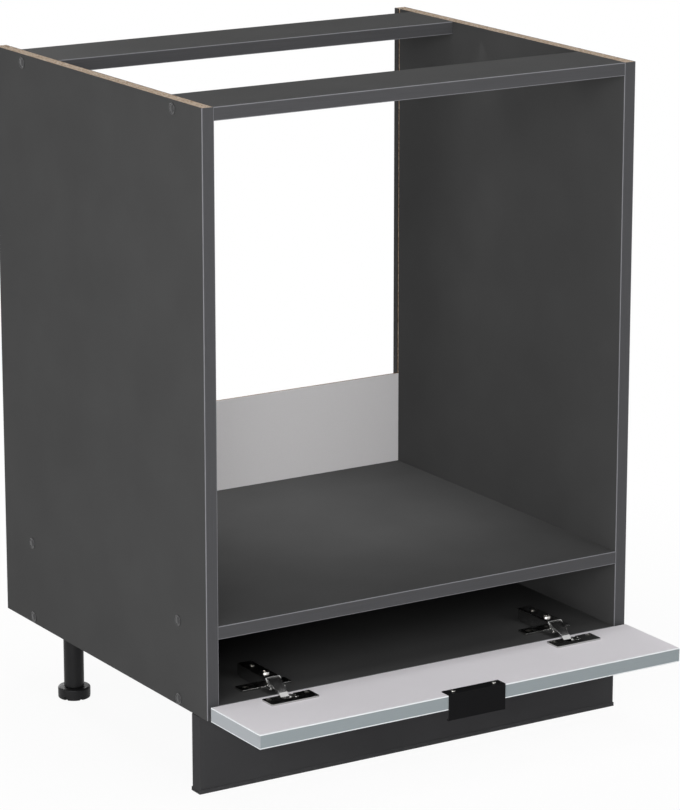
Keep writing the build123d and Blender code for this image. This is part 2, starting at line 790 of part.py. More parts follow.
def write_carcass():
    """The boards, their edge bands and what joins them."""
    half = inner_width / 2
    shelf_low = oven_shelf_top - board_thickness
    for name, side in (("left", -1), ("right", 1)):
        write(side_panel(side), name + "_side_panel")
        write(front_band(*across(side, half, carcass_width / 2), 0, carcass_height),
              name + "_side_edge_band")
    write(bottom_panel(), "bottom_panel")
    write(cross_board(edge_band_thickness, groove_front, shelf_low), "oven_shelf")
    write(cross_board(edge_band_thickness, front_rail_depth, rail_underside), "front_rail")
    write(cross_board(rear_rail_start + edge_band_thickness, rear_rail_start + rear_rail_depth,
                      rail_underside), "rear_rail")
    write(front_band(-half, half, 0, board_thickness), "bottom_edge_band")
    write(front_band(-half, half, shelf_low, oven_shelf_top), "shelf_edge_band")
    write(front_band(-half, half, rail_underside, carcass_height), "front_rail_edge_band")
    write(front_band(-half, half, rail_underside, carcass_height, rear_rail_start),
          "rear_rail_edge_band")
    back_half = half + back_groove_depth - back_groove_clearance
    write(box(-back_half, back_half, back_panel_front, back_panel_front + back_panel_thickness,
              0, back_panel_top), "back_panel")
    screws = []
    caps = []
    dowels = []
    for side in (-1, 1):
        for screw_y, screw_z, dowel_y, dowel_z in board_joints():
            screws.append(carcass_screw(side, screw_y, screw_z))
            caps.append(screw_cap(side, screw_y, screw_z))
            dowels.append(dowel_body(side, dowel_y, dowel_z))
    write_group(screws, "carcass_screws")
    write_group(caps, "screw_caps")
    write_group(dowels, "wooden_dowels")


def write_hinges():
    """Both concealed hinges, piece by piece."""
    plate_screws = []
    fixing_screws = []
    adjusting_screws = []
    link_pins = []
    cup_pins = []
    cup_screws = []
    half = hinge_arm_width / 2 + hinge_play
    for name, place in hinge_places.items():
        write(hinge_plate(place), name + "_hinge_mounting_plate")
        write(hinge_arm(place), name + "_hinge_arm")
        write(strap_shape(place), name + "_hinge_strap")
        write(inner_link(place), name + "_inner_link")
        write(hinge_cup(place), name + "_hinge_cup")
        fixing_screws.append(machine_screw(place, hinge_fixing_screw_y, hinge_arm_top,
                                           hinge_fixing_screw_radius, hinge_fixing_screw_height,
                                           hinge_fixing_shank_radius, hinge_shank_length))
        adjusting_screws.append(machine_screw(place, hinge_adjusting_screw_y, hinge_arm_top,
                                              hinge_adjusting_screw_radius,
                                              hinge_adjusting_screw_height,
                                              hinge_adjusting_shank_radius, hinge_shank_length))
        link_pins.append(rod(place - half, place + half, strap_pivot_y, strap_pivot_z,
                             hinge_pin_radius))
        link_pins.append(rod(place - half, place + half, link_pivot_y, link_pivot_z,
                             hinge_pin_radius))
        cup_pins.append(cup_pin(place))
        for side in (-1, 1):
            screw = countersunk_screw(plate_screw_length, plate_screw_radius,
                                      plate_screw_head_radius)
            plate_screws.append(Pos(place + side * plate_screw_spread, plate_screw_y,
                                    board_thickness + plate_wing_thickness) * screw)
            screw = countersunk_screw(cup_screw_length, cup_screw_radius, cup_screw_head_radius)
            cup_screws.append(Pos(place + side * cup_screw_spread, cup_screw_y,
                                  flap_inner_face + cup_plate_thickness) * screw)
    write_group(plate_screws, "hinge_plate_screws")
    write_group(fixing_screws, "arm_fixing_screws")
    write_group(adjusting_screws, "arm_adjusting_screws")
    write_group(link_pins, "arm_link_pins")
    write_group(cup_pins, "cup_pins")
    write_group(cup_screws, "cup_screws")


def write_flap():
    """The flap with its edge bands and its handle."""
    write(flap_panel(), "flap_panel")
    for name, band in flap_bands().items():
        write(band, name)
    write(flap_handle(), "flap_handle")
    seat = flap_inner_face + handle_sheet
    screws = []
    for side in (-1, 1):
        screws.append(machine_screw(side * handle_screw_spread, handle_screw_y, seat,
                                    handle_screw_head_radius, handle_screw_head_height,
                                    handle_screw_radius, handle_screw_length))
    write_group(screws, "handle_screws")


def write_legs():
    """Four adjustable legs, each a socket, a tube and a screw foot."""
    screws = []
    for name, x, y in leg_places():
        write(leg_socket(x, y), name + "_leg_socket")
        write(leg_tube(x, y), name + "_leg_tube")
        write(leg_foot(x, y), name + "_leg_foot")
        for i, j in leg_screw_offsets():
            screw = countersunk_screw(leg_screw_length, leg_screw_radius, leg_screw_head_radius)
            screws.append(Pos(x + i, y + j, -leg_socket_thickness) * Rot(180, 0, 0) * screw)
    write_group(screws, "leg_socket_screws")


def write_plinth():
    """The plinth board, its seal and the clips that grip the front legs."""
    write(plinth_panel(), "plinth_panel")
    write(plinth_seal(), "plinth_seal")
    for name, x in front_leg_places().items():
        write(plinth_clip(x), name + "_plinth_clip")
    screws = []
    for x, y, z in clip_screw_places():
        screw = countersunk_screw(clip_screw_length, clip_screw_radius, clip_screw_head_radius)
        screws.append(Pos(x, y, z) * Rot(-90, 0, 0) * screw)
    write_group(screws, "plinth_clip_screws")


def print_hinge_motion():
    """The angles that the strap and the inner link turn through as the flap closes."""
    strap_turn = closing_turn(strap_pivot_y, strap_pivot_z, cup_pin_depth)
    link_turn = closing_turn(link_pivot_y, link_pivot_z, link_far_depth)
    print("strap turns", round(strap_turn, 4), "degrees")
    print("inner link turns", round(link_turn, 4), "degrees")
    print("cup pin at", round(cup_pin_y - middle_depth, 4), round(cup_pin_z + leg_height, 4))
    print("middle of the depth", round(middle_depth, 4))


write_carcass()
write_hinges()
write_flap()
write_legs()
write_plinth()
print_hinge_motion()
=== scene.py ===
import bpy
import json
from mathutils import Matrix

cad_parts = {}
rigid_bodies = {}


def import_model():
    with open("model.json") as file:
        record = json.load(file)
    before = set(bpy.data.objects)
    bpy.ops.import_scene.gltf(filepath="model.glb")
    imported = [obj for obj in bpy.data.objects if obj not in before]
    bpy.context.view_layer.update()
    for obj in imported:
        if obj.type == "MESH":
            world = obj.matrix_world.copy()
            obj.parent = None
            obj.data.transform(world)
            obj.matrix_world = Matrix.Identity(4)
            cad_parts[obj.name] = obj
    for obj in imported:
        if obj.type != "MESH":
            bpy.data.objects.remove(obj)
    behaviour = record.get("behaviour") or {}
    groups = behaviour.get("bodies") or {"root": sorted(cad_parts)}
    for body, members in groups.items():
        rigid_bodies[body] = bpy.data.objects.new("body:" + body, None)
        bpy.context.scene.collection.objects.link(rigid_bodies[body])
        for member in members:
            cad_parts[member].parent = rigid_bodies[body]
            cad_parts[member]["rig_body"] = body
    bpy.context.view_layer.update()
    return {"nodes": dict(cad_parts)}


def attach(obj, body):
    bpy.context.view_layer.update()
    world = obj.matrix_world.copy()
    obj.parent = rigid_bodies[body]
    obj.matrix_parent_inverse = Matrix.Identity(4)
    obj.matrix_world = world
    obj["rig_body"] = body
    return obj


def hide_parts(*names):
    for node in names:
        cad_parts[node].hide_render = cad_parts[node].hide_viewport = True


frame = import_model()

import json
import logging
import math
from dataclasses import dataclass, field
from enum import Enum
from functools import cache
from typing import Any, Iterable, Mapping, Sequence

import bmesh
import bpy
from mathutils import Vector

logger = logging.getLogger("oven_housing")

MM = 0.001

# How near two points are one: in a CAD node's loose triangles, and where a strip's parts meet.
JOIN_MM = 0.001
WELD_MM = 0.005

# Angles between faces: under the first they are one flat face, over the second the edge is
# eased, and over the third a grown piece's shading keeps it sharp.
FLAT_DEGREES = 0.5
EASED_DEGREES = 32
SHARP_DEGREES = 38

# Blender's names for the kinds of node that come up most.
MATH = "ShaderNodeMath"
VECTOR_MATH = "ShaderNodeVectorMath"
MAP_RANGE = "ShaderNodeMapRange"
MAPPING = "ShaderNodeMapping"
NOISE = "ShaderNodeTexNoise"
MIX = "ShaderNodeMix"
BUMP = "ShaderNodeBump"
PRINCIPLED = "ShaderNodeBsdfPrincipled"
CYLINDER = "GeometryNodeMeshCylinder"
SET_POSITION = "GeometryNodeSetPosition"
TRANSFORM = "GeometryNodeTransform"


class Axis(Enum):
    """A direction of the shared frame, by its place in a vector."""

    X = 0
    Y = 1
    Z = 2


class Side(Enum):
    """A side of the cabinet, seen from the front."""

    LEFT = "left"
    RIGHT = "right"


class Row(Enum):
    """A row of legs."""

    FRONT = "front"
    REAR = "rear"


def linear(colour: str) -> tuple[float, float, float, float]:
    """Turns an sRGB hex colour into linear values.

    Args:
        colour: Six hex digits.

    Returns:
        The linear red, green and blue, and an alpha of 1.
    """
    shares = [int(colour[i : i + 2], 16) / 255 for i in (0, 2, 4)]
    parts = [c / 12.92 if c <= 0.04045 else ((c + 0.055) / 1.055) ** 2.4 for c in shares]
    return (parts[0], parts[1], parts[2], 1.0)


def add(
    tree: bpy.types.NodeTree,
    kind: str,
    inputs: Mapping[Any, Any] | None = None,
    **settings: Any,
) -> bpy.types.Node:
    """Adds a node with its settings, and fills or links its inputs.

    Args:
        tree: The node tree that gets the node.
        kind: Blender's name for the kind of node.
        inputs: For each input's name or place, a value, or a socket or node to link from,
            or a list of nodes for an input that takes several.
        **settings: The node's own properties.

    Returns:
        The new node.
    """
    node = tree.nodes.new(kind)
    for key, value in settings.items():
        setattr(node, key, value)
    for key, value in (inputs or {}).items():
        for source in value if isinstance(value, list) else [value]:
            if isinstance(source, bpy.types.Node):
                source = source.outputs[0]
            if isinstance(source, bpy.types.NodeSocket):
                tree.links.new(source, node.inputs[key])
            else:
                node.inputs[key].default_value = source
    return node


def set_stops(node: bpy.types.Node, stops: Sequence[tuple[float, str]]) -> bpy.types.Node:
    """Gives a colour ramp its stops.

    Args:
        node: The colour ramp node.
        stops: Each stop's place from 0 to 1 and its hex colour.

    Returns:
        The same node.
    """
    elements = node.color_ramp.elements
    while len(elements) < len(stops):
        elements.new(1.0)
    for element, (place, colour) in zip(elements, stops):
        element.position = place
        element.color = linear(colour)
    return node


def drift(
    tree: bpy.types.NodeTree,
    point: bpy.types.NodeSocket | bpy.types.Node,
    scale: float,
    reach: tuple[float, float],
    detail: float = 3.0,
) -> tuple[bpy.types.Node, bpy.types.Node]:
    """Adds noise, and a value that wanders with it between two limits.

    Args:
        tree: The material's node tree.
        point: The point that the noise is read at.
        scale: How many turns of the noise fit in one unit of the point.
        reach: The value's lower and upper limit.
        detail: How many finer layers the noise has.

    Returns:
        The noise node, and the node that gives the value.
    """
    noise = add(tree, NOISE, {"Vector": point, "Scale": scale, "Detail": detail})
    value = add(
        tree,
        MAP_RANGE,
        {"Value": noise, "From Min": 0.3, "From Max": 0.7, "To Min": reach[0], "To Max": reach[1]},
    )
    return noise, value


def about(middle: float, share: float) -> tuple[float, float]:
    """Two limits at equal distances below and above a middle value."""
    return (middle - share, middle + share)


def per_metre(size_mm: float) -> float:
    """How many times a pattern of this size fits in one metre."""
    return 1 / (size_mm * MM)


def stretched(size_mm: float, other_mm: float, axis: Axis) -> tuple[float, ...]:
    """Scales for a pattern that has another size along one axis.

    Args:
        size_mm: The pattern's size along the two other axes.
        other_mm: Its size along the one axis.
        axis: The one axis.

    Returns:
        The scale along each axis.
    """
    scale = [per_metre(size_mm)] * 3
    scale[axis.value] = per_metre(other_mm)
    return tuple(scale)


def tinted(tree: bpy.types.NodeTree, colour: str, share: bpy.types.Node) -> bpy.types.Node:
    """A hex colour made lighter or darker by a share."""
    return add(tree, VECTOR_MATH, {0: linear(colour)[:3], "Scale": share}, operation="SCALE")


@dataclass(frozen=True)
class Finish:
    """What every finish has: its own name and the record's slot that it stands for."""

    name: str
    slot: str

    def material(self) -> bpy.types.Material:
        """Gives the finish as a material, built when it is first asked for.

        Returns:
            The material, which reads object coordinates.
        """
        found = bpy.data.materials.get(self.name)
        if found is not None:
            return found
        made = bpy.data.materials.new(self.name)
        made.use_nodes = True
        tree = made.node_tree
        tree.nodes.clear()
        place = add(tree, "ShaderNodeTexCoord").outputs["Object"]
        shader = self.shader(tree, place)
        add(tree, "ShaderNodeOutputMaterial", {"Surface": shader})
        return made

    def shader(self, tree: bpy.types.NodeTree, place: bpy.types.NodeSocket) -> bpy.types.Node:
        """Builds the finish's shader.

        Args:
            tree: The material's node tree.
            place: The point on the object, in metres.

        Returns:
            The node that gives the shader.
        """
        raise NotImplementedError


@dataclass(frozen=True)
class PearlMelamine(Finish):
    """Resin soaked paper pressed on a board against a pearl plate.

    It looks dry and even, with a fine orange skin that breaks up what little gloss it has at
    a low angle. The real grain is 0.3 mm, drawn as 1.4 mm so that it shows.
    """

    colour: str
    roughness: float = 0.5
    specular: float = 0.003
    grain_mm: float = 1.4
    grain_depth_mm: float = 0.012
    gloss_spread: float = 0.05
    cloud_mm: float = 90.0
    cloud_share: float = 0.05

    def shader(self, tree: bpy.types.NodeTree, place: bpy.types.NodeSocket) -> bpy.types.Node:
        """Even colour with slow clouds, and a fine grain in gloss and height.

        Args:
            tree: The material's node tree.
            place: The point on the object, in metres.

        Returns:
            The node that gives the shader.
        """
        gloss_reach = about(self.roughness, self.gloss_spread)
        grain, gloss = drift(tree, place, per_metre(self.grain_mm), gloss_reach, 2.0)
        _, share = drift(tree, place, per_metre(self.cloud_mm), about(1.0, self.cloud_share))
        bump = add(tree, BUMP, {"Height": grain, "Distance": self.grain_depth_mm * MM})
        return add(
            tree,
            PRINCIPLED,
            {
                "Base Color": tinted(tree, self.colour, share),
                "Roughness": gloss,
                "Normal": bump,
                "Specular IOR Level": self.specular,
            },
        )


@dataclass(frozen=True)
class RawChipboard(Finish):
    """The sawn core of a chipboard: pale wood flakes glued flat, with dark gaps.

    The flakes lie parallel to the board's faces, so a cut edge shows thin bits in layers,
    between the two dark lines of the facing paper.
    """

    thin: Axis
    flake_mm: float = 2.6
    flake_thickness_mm: float = 0.8
    gap_depth_mm: float = 0.15
    gap_share: float = 0.65
    paper_from: float = 0.87
    paper_colour: str = "3A3634"
    roughness: float = 0.85
    specular: float = 0.1
    tones: tuple[tuple[float, str], ...] = (
        (0.0, "836B55"),
        (0.12, "9E856D"),
        (0.4, "B59F8A"),
        (0.75, "C3B29F"),
        (1.0, "CDC0B1"),
    )

    def shader(self, tree: bpy.types.NodeTree, place: bpy.types.NodeSocket) -> bpy.types.Node:
        """Flakes in five tones with darker gaps, and the paper's lines beside them.

        Args:
            tree: The material's node tree.
            place: The point on the object, in metres.

        Returns:
            The node that gives the shader.
        """
        scale = stretched(self.flake_mm, self.flake_thickness_mm, self.thin)
        flat = add(tree, MAPPING, {"Vector": place, "Scale": scale})
        flakes = add(tree, "ShaderNodeTexVoronoi", {"Vector": flat, "Scale": 1.0})
        tone = add(tree, "ShaderNodeSeparateColor", {"Color": flakes.outputs["Color"]})
        ramp = set_stops(add(tree, "ShaderNodeValToRGB", {"Fac": tone}), self.tones)
        gap = add(
            tree,
            MAP_RANGE,
            {
                "Value": flakes,
                "From Min": 0.5,
                "From Max": 0.9,
                "To Min": 1.0,
                "To Max": self.gap_share,
            },
        )
        wood = add(tree, VECTOR_MATH, {0: ramp, "Scale": gap}, operation="SCALE")
        side = add(tree, "ShaderNodeAttribute", attribute_name=ACROSS).outputs["Fac"]
        depth = add(tree, MATH, {0: side}, operation="ABSOLUTE")
        paper = add(tree, MATH, {0: depth, 1: self.paper_from}, operation="GREATER_THAN")
        colour = add(
            tree,
            MIX,
            {"Factor": paper, "A": wood, "B": linear(self.paper_colour)},
            data_type="RGBA",
        )
        bump = add(tree, BUMP, {"Height": gap, "Distance": self.gap_depth_mm * MM})
        return add(
            tree,
            PRINCIPLED,
            {
                "Base Color": colour.outputs["Result"],
                "Roughness": self.roughness,
                "Normal": bump,
                "Specular IOR Level": self.specular,
            },
        )


@dataclass(frozen=True)
class AbsEdging(Finish):
    """ABS edging strip, glued on and trimmed: smooth plastic a touch glossier than the board.

    Trimming and buffing leave long faint streaks along the strip. Its round corners are
    painted paler than its face, a painted highlight for the light that they catch. The real
    streaks are about 0.3 mm wide, drawn as 0.9 mm so that they show.
    """

    colour: str
    painted_highlight_colour: str
    along: Axis
    roughness: float = 0.4
    specular: float = 0.15
    highlight_from: float = 0.86
    highlight_blend: float = 0.05
    streak_mm: float = 0.9
    streak_length_mm: float = 60.0
    streak_share: float = 0.06
    gloss_reach: tuple[float, float] = (-0.08, 0.12)

    def shader(self, tree: bpy.types.NodeTree, place: bpy.types.NodeSocket) -> bpy.types.Node:
        """Streaks along the strip, and a painted highlight on the round corners, placed by the
        strip's own width.

        Args:
            tree: The material's node tree.
            place: The point on the object, in metres.

        Returns:
            The node that gives the shader.
        """
        scale = stretched(self.streak_mm, self.streak_length_mm, self.along)
        drawn = add(tree, MAPPING, {"Vector": place, "Scale": scale})
        streak, share = drift(tree, drawn, 1.0, about(1.0, self.streak_share))
        side = add(tree, "ShaderNodeAttribute", attribute_name=ACROSS).outputs["Fac"]
        depth = add(tree, MATH, {0: side}, operation="ABSOLUTE")
        # Near the strip's two long edges the colour turns to the paler one: a painted highlight on
        # the round corners.
        corner = add(
            tree,
            MAP_RANGE,
            {
                "Value": depth,
                "From Min": self.highlight_from,
                "From Max": self.highlight_from + self.highlight_blend,
            },
        )
        colour = add(
            tree,
            MIX,
            {
                "Factor": corner,
                "A": tinted(tree, self.colour, share),
                "B": tinted(tree, self.painted_highlight_colour, share),
            },
            data_type="RGBA",
        )
        least, most = (self.roughness + step for step in self.gloss_reach)
        gloss = add(tree, MAP_RANGE, {"Value": streak, "To Min": least, "To Max": most})
        return add(
            tree,
            PRINCIPLED,
            {
                "Base Color": colour.outputs["Result"],
                "Roughness": gloss,
                "Specular IOR Level": self.specular,
            },
        )


@dataclass(frozen=True)
class PlatedSteel(Finish):
    """Pressed steel sheet with a bright nickel or zinc coat.

    It mirrors what is near it, softened by rolling lines and by faint cloudy smears. The real
    lines are about 0.1 mm apart, drawn as 0.35 mm so that they show.
    """

    colour: str
    roughness: float
    line_mm: float = 0.35
    line_length_mm: float = 12.0
    line_depth_mm: float = 0.002
    smear_mm: float = 9.0
    smear_reach: tuple[float, float] = (0.92, 1.05)
    gloss_shares: tuple[float, float] = (0.5, 1.6)

    def shader(self, tree: bpy.types.NodeTree, place: bpy.types.NodeSocket) -> bpy.types.Node:
        """A mirror metal with rolling lines along Y and smears in its gloss.

        Args:
            tree: The material's node tree.
            place: The point on the object, in metres.

        Returns:
            The node that gives the shader.
        """
        scale = stretched(self.line_mm, self.line_length_mm, Axis.Y)
        drawn = add(tree, MAPPING, {"Vector": place, "Scale": scale})
        lines = add(tree, NOISE, {"Vector": drawn, "Scale": 1.0, "Detail": 2.0})
        smear, share = drift(tree, place, per_metre(self.smear_mm), self.smear_reach, 4.0)
        least, most = (self.roughness * part for part in self.gloss_shares)
        gloss = add(tree, MAP_RANGE, {"Value": smear, "To Min": least, "To Max": most})
        bump = add(tree, BUMP, {"Height": lines, "Distance": self.line_depth_mm * MM})
        return add(
            tree,
            PRINCIPLED,
            {
                "Base Color": tinted(tree, self.colour, share),
                "Metallic": 1.0,
                "Roughness": gloss,
                "Normal": bump,
            },
        )


@dataclass(frozen=True)
class MouldedPlastic(Finish):
    """Injection moulded plastic from a spark eroded mould: even colour and a fine dry grain.

    The real grain is about 0.1 mm, drawn as 0.5 mm so that it shows.
    """

    colour: str
    roughness: float
    specular: float = 0.12
    grain_mm: float = 0.5
    grain_depth_mm: float = 0.01
    flow_mm: float = 16.0
    flow_share: float = 0.08
    gloss_spread: float = 0.1

    def shader(self, tree: bpy.types.NodeTree, place: bpy.types.NodeSocket) -> bpy.types.Node:
        """Even colour with a fine grain and slow changes of gloss from the flow of the melt.

        Args:
            tree: The material's node tree.
            place: The point on the object, in metres.

        Returns:
            The node that gives the shader.
        """
        grain = add(tree, NOISE, {"Vector": place, "Scale": per_metre(self.grain_mm)})
        tone_reach = about(1.0, self.flow_share)
        flow, share = drift(tree, place, per_metre(self.flow_mm), tone_reach, 2.0)
        least, most = about(self.roughness, self.gloss_spread)
        gloss = add(tree, MAP_RANGE, {"Value": flow, "To Min": least, "To Max": most})
        bump = add(tree, BUMP, {"Height": grain, "Distance": self.grain_depth_mm * MM})
        return add(
            tree,
            PRINCIPLED,
            {
                "Base Color": tinted(tree, self.colour, share),
                "Roughness": gloss,
                "Normal": bump,
                "Specular IOR Level": self.specular,
            },
        )


@dataclass(frozen=True)
class PowderCoat(Finish):
    """Black powder paint baked on steel sheet: satin, with a soft orange peel of about 1 mm."""

    colour: str
    roughness: float
    specular: float = 0.05
    peel_mm: float = 1.1
    peel_depth_mm: float = 0.02
    speck_mm: float = 0.4
    speck_share: float = 0.1
    gloss_reach: tuple[float, float] = (-0.1, 0.12)

    def shader(self, tree: bpy.types.NodeTree, place: bpy.types.NodeSocket) -> bpy.types.Node:
        """Orange peel in height, with a fine speckle in gloss and a faint one in colour.

        Args:
            tree: The material's node tree.
            place: The point on the object, in metres.

        Returns:
            The node that gives the shader.
        """
        peel = add(
            tree,
            "ShaderNodeTexVoronoi",
            {"Vector": place, "Scale": per_metre(self.peel_mm)},
            feature="SMOOTH_F1",
        )
        tone_reach = about(1.0, self.speck_share)
        speck, share = drift(tree, place, per_metre(self.speck_mm), tone_reach, 1.0)
        least, most = (self.roughness + step for step in self.gloss_reach)
        gloss = add(tree, MAP_RANGE, {"Value": speck, "To Min": least, "To Max": most})
        bump = add(tree, BUMP, {"Height": peel, "Distance": self.peel_depth_mm * MM})
        return add(
            tree,
            PRINCIPLED,
            {
                "Base Color": tinted(tree, self.colour, share),
                "Roughness": gloss,
                "Normal": bump,
                "Specular IOR Level": self.specular,
            },
        )


@dataclass(frozen=True)
class Hardboard(Finish):
    """Thin pressed fibre board, painted or bare: fine short fibres in every direction."""

    colour: str
    fibre_colour: str
    roughness: float
    fibre_share: float
    fibre_mm: float = 0.8
    fibre_depth_mm: float = 0.02
    specular: float = 0.15

    def shader(self, tree: bpy.types.NodeTree, place: bpy.types.NodeSocket) -> bpy.types.Node:
        """Fibres mixed into an even ground, with the same fibres in height.

        Args:
            tree: The material's node tree.
            place: The point on the object, in metres.

        Returns:
            The node that gives the shader.
        """
        fibre = add(
            tree,
            NOISE,
            {"Vector": place, "Scale": per_metre(self.fibre_mm), "Detail": 5.0, "Distortion": 1.5},
        )
        share = add(
            tree,
            MAP_RANGE,
            {"Value": fibre, "From Min": 0.45, "From Max": 0.75, "To Max": self.fibre_share},
        )
        colour = add(
            tree,
            MIX,
            {"Factor": share, "A": linear(self.colour), "B": linear(self.fibre_colour)},
            data_type="RGBA",
        )
        bump = add(tree, BUMP, {"Height": fibre, "Distance": self.fibre_depth_mm * MM})
        return add(
            tree,
            PRINCIPLED,
            {
                "Base Color": colour.outputs["Result"],
                "Roughness": self.roughness,
                "Normal": bump,
                "Specular IOR Level": self.specular,
            },
        )


@dataclass(frozen=True)
class Beech(Finish):
    """Turned beech: pale pinkish wood, in which short dark rays run along the grain."""

    ray_mm: float = 0.5
    ray_length_mm: float = 3.0
    roughness: float = 0.6
    tones: tuple[tuple[float, str], ...] = ((0.3, "9C6E48"), (0.45, "CBA077"), (0.7, "DDB78E"))

    def shader(self, tree: bpy.types.NodeTree, place: bpy.types.NodeSocket) -> bpy.types.Node:
        """Short rays along X on a pale ground.

        Args:
            tree: The material's node tree.
            place: The point on the object, in metres.

        Returns:
            The node that gives the shader.
        """
        scale = stretched(self.ray_mm, self.ray_length_mm, Axis.X)
        drawn = add(tree, MAPPING, {"Vector": place, "Scale": scale})
        rays = add(tree, NOISE, {"Vector": drawn, "Scale": 1.0, "Detail": 3.0})
        ramp = set_stops(add(tree, "ShaderNodeValToRGB", {"Fac": rays}), self.tones)
        return add(tree, PRINCIPLED, {"Base Color": ramp, "Roughness": self.roughness})


@dataclass(frozen=True)
class StudioWhite(Finish):
    """White studio paper that takes the object's shadow and fades into the white behind it.

    Near the object the paper glows a little under pure white, so that the shadow stays, and
    it reaches pure white at a distance from the middle. The distances are in metres.
    """

    colour: str
    glow: float
    fade_from: float = 0.5
    fade_to: float = 1.1
    cloud_mm: float = 25.0
    cloud_reach: tuple[float, float] = (0.99, 1.0)

    def shader(self, tree: bpy.types.NodeTree, place: bpy.types.NodeSocket) -> bpy.types.Node:
        """Plain matt white, lifted towards pure white only where it is looked at or mirrored.

        Args:
            tree: The material's node tree.
            place: The point on the object, in metres.

        Returns:
            The node that gives the shader.
        """
        away = add(tree, VECTOR_MATH, {0: place}, operation="LENGTH").outputs["Value"]
        glow = add(
            tree,
            MAP_RANGE,
            {
                "Value": away,
                "From Min": self.fade_from,
                "From Max": self.fade_to,
                "To Min": self.glow,
                "To Max": 1.0,
            },
        )
        share = add(tree, MATH, {0: looked_at(tree), 1: glow}, operation="MULTIPLY")
        _, tone = drift(tree, place, per_metre(self.cloud_mm), self.cloud_reach)
        paper = add(tree, "ShaderNodeBsdfDiffuse", {"Color": tinted(tree, self.colour, tone)})
        white = add(tree, "ShaderNodeEmission", {"Strength": 1.0})
        return add(tree, "ShaderNodeMixShader", {0: share, 1: paper, 2: white})


def looked_at(tree: bpy.types.NodeTree) -> bpy.types.Node:
    """Adds nodes that give 1 to rays from the camera, from mirrors and through glass.

    Args:
        tree: The node tree of a material or world.

    Returns:
        The node that gives 1 or 0.
    """
    seen = add(tree, "ShaderNodeLightPath")
    direct = add(
        tree,
        MATH,
        {0: seen.outputs["Is Camera Ray"], 1: seen.outputs["Is Glossy Ray"]},
        operation="MAXIMUM",
    )
    return add(
        tree,
        MATH,
        {0: direct, 1: seen.outputs["Is Transmission Ray"]},
        operation="MAXIMUM",
    )


# The attributes that a piece's own points carry: the place across a board or strip, from -1
# to 1, and the way out of the hole that a fastener sits in.
ACROSS = "across"
WAY_OUT = "way_out"

# A cap's section from its middle to its edge, as shares of its radius and its height: a dome,
# a groove round it and a flat rim.
CAP_SECTION = (
    (0.0, 1.0),
    (0.3, 0.93),
    (0.52, 0.72),
    (0.64, 0.4),
    (0.72, 0.36),
    (0.8, 0.6),
    (0.92, 0.58),
    (1.0, 0.35),
)

CARCASS_FACE = PearlMelamine("anthracite_pearl_melamine", "carcass_board", "494949")
CORES = {
    axis: RawChipboard(f"raw_chipboard_flat_across_{axis.name.lower()}", "carcass_board", axis)
    for axis in Axis
}
# In both edgings below, the second, paler colour is a painted highlight on the strip's round
# corners.
CARCASS_EDGING = {
    axis: AbsEdging(
        f"anthracite_abs_edging_along_{axis.name.lower()}", "edge_band", "474749", "7A7A7E", axis
    )
    for axis in Axis
}
BACK_PAINT = Hardboard("grey_painted_hardboard", "back_board", "E4E2E3", "D6D4D5", 0.45, 0.5)
BACK_RAW = Hardboard("bare_hardboard", "back_board", "7A5A3E", "553A26", 0.8, 0.9)
FLAP_FACE = PearlMelamine("pale_grey_melamine", "flap_board", "E8E5E9", cloud_share=0.015)
# The strips along Y, at the flap's left and right ends, are painted a paler grey than those along
# X, though all are one edging: painted light for the brighter lit left end.
FLAP_EDGING = {
    axis: AbsEdging(
        f"cool_grey_abs_edging_along_{axis.name.lower()}",
        "flap_edge_band",
        colour,
        "E6E9EB",
        axis,
        highlight_from=0.82,
        streak_share=0.02,
    )
    for axis, colour in ((Axis.X, "8C9497"), (Axis.Y, "A3A7AB"))
}
# The plinth's melamine is darker than the carcass's: partly its own tone, partly painted shade
# from the flap that overhangs it.
PLINTH_FACE = PearlMelamine("anthracite_plinth_melamine", "plinth_board", "414142")
NICKEL = PlatedSteel("nickel_plated_steel", "hinge_steel", "C3C3C2", 0.16)
PIN_NICKEL = PlatedSteel("polished_steel_pins", "pin_steel", "D6D4D0", 0.14)
ZINC = PlatedSteel("bright_zinc_plated_screws", "screw_steel", "BDBCB8", 0.22)
DARK_ZINC = PlatedSteel("dull_zinc_plated_screws", "screw_steel", "77756F", 0.3)
HANDLE_BLACK = PowderCoat("black_powder_coat", "handle_steel", "101011", 0.45)
CAP_ABS = MouldedPlastic("anthracite_abs_caps", "cap_plastic", "343435", 0.22, specular=0.3)
DOWEL_BEECH = Beech("beech_dowels", "dowel_wood")
LEG_PP = MouldedPlastic("black_polypropylene_legs", "leg_plastic", "1E1E1F", 0.42)
CLIP_PP = MouldedPlastic("black_polypropylene_clips", "clip_plastic", "222222", 0.45)
# The seal is extruded, not moulded, so its grain is drawn wider.
SEAL_PVC = MouldedPlastic("grey_soft_pvc_seal", "seal_plastic", "3B3B3C", 0.35, grain_mm=0.8)
PAPER = StudioWhite("white_studio_paper", "", "FCFCFC", 0.94)


def link(mesh: bpy.types.Mesh, name: str) -> bpy.types.Object:
    """Puts a mesh in the scene as an object at the origin.

    Args:
        mesh: The mesh.
        name: The object's name.

    Returns:
        The object.
    """
    made = bpy.data.objects.new(name, mesh)
    bpy.context.scene.collection.objects.link(made)
    return made


def baked(piece: bpy.types.Object) -> bpy.types.Object:
    """Turns a piece's live modifiers into its plain mesh.

    Args:
        piece: An object with modifiers.

    Returns:
        The same object, with the result as its own mesh and no modifier.
    """
    bpy.context.view_layer.update()
    seen = piece.evaluated_get(bpy.context.evaluated_depsgraph_get())
    result = bpy.data.meshes.new_from_object(seen)
    piece.modifiers.clear()
    piece.data = result
    result.name = piece.name
    return piece


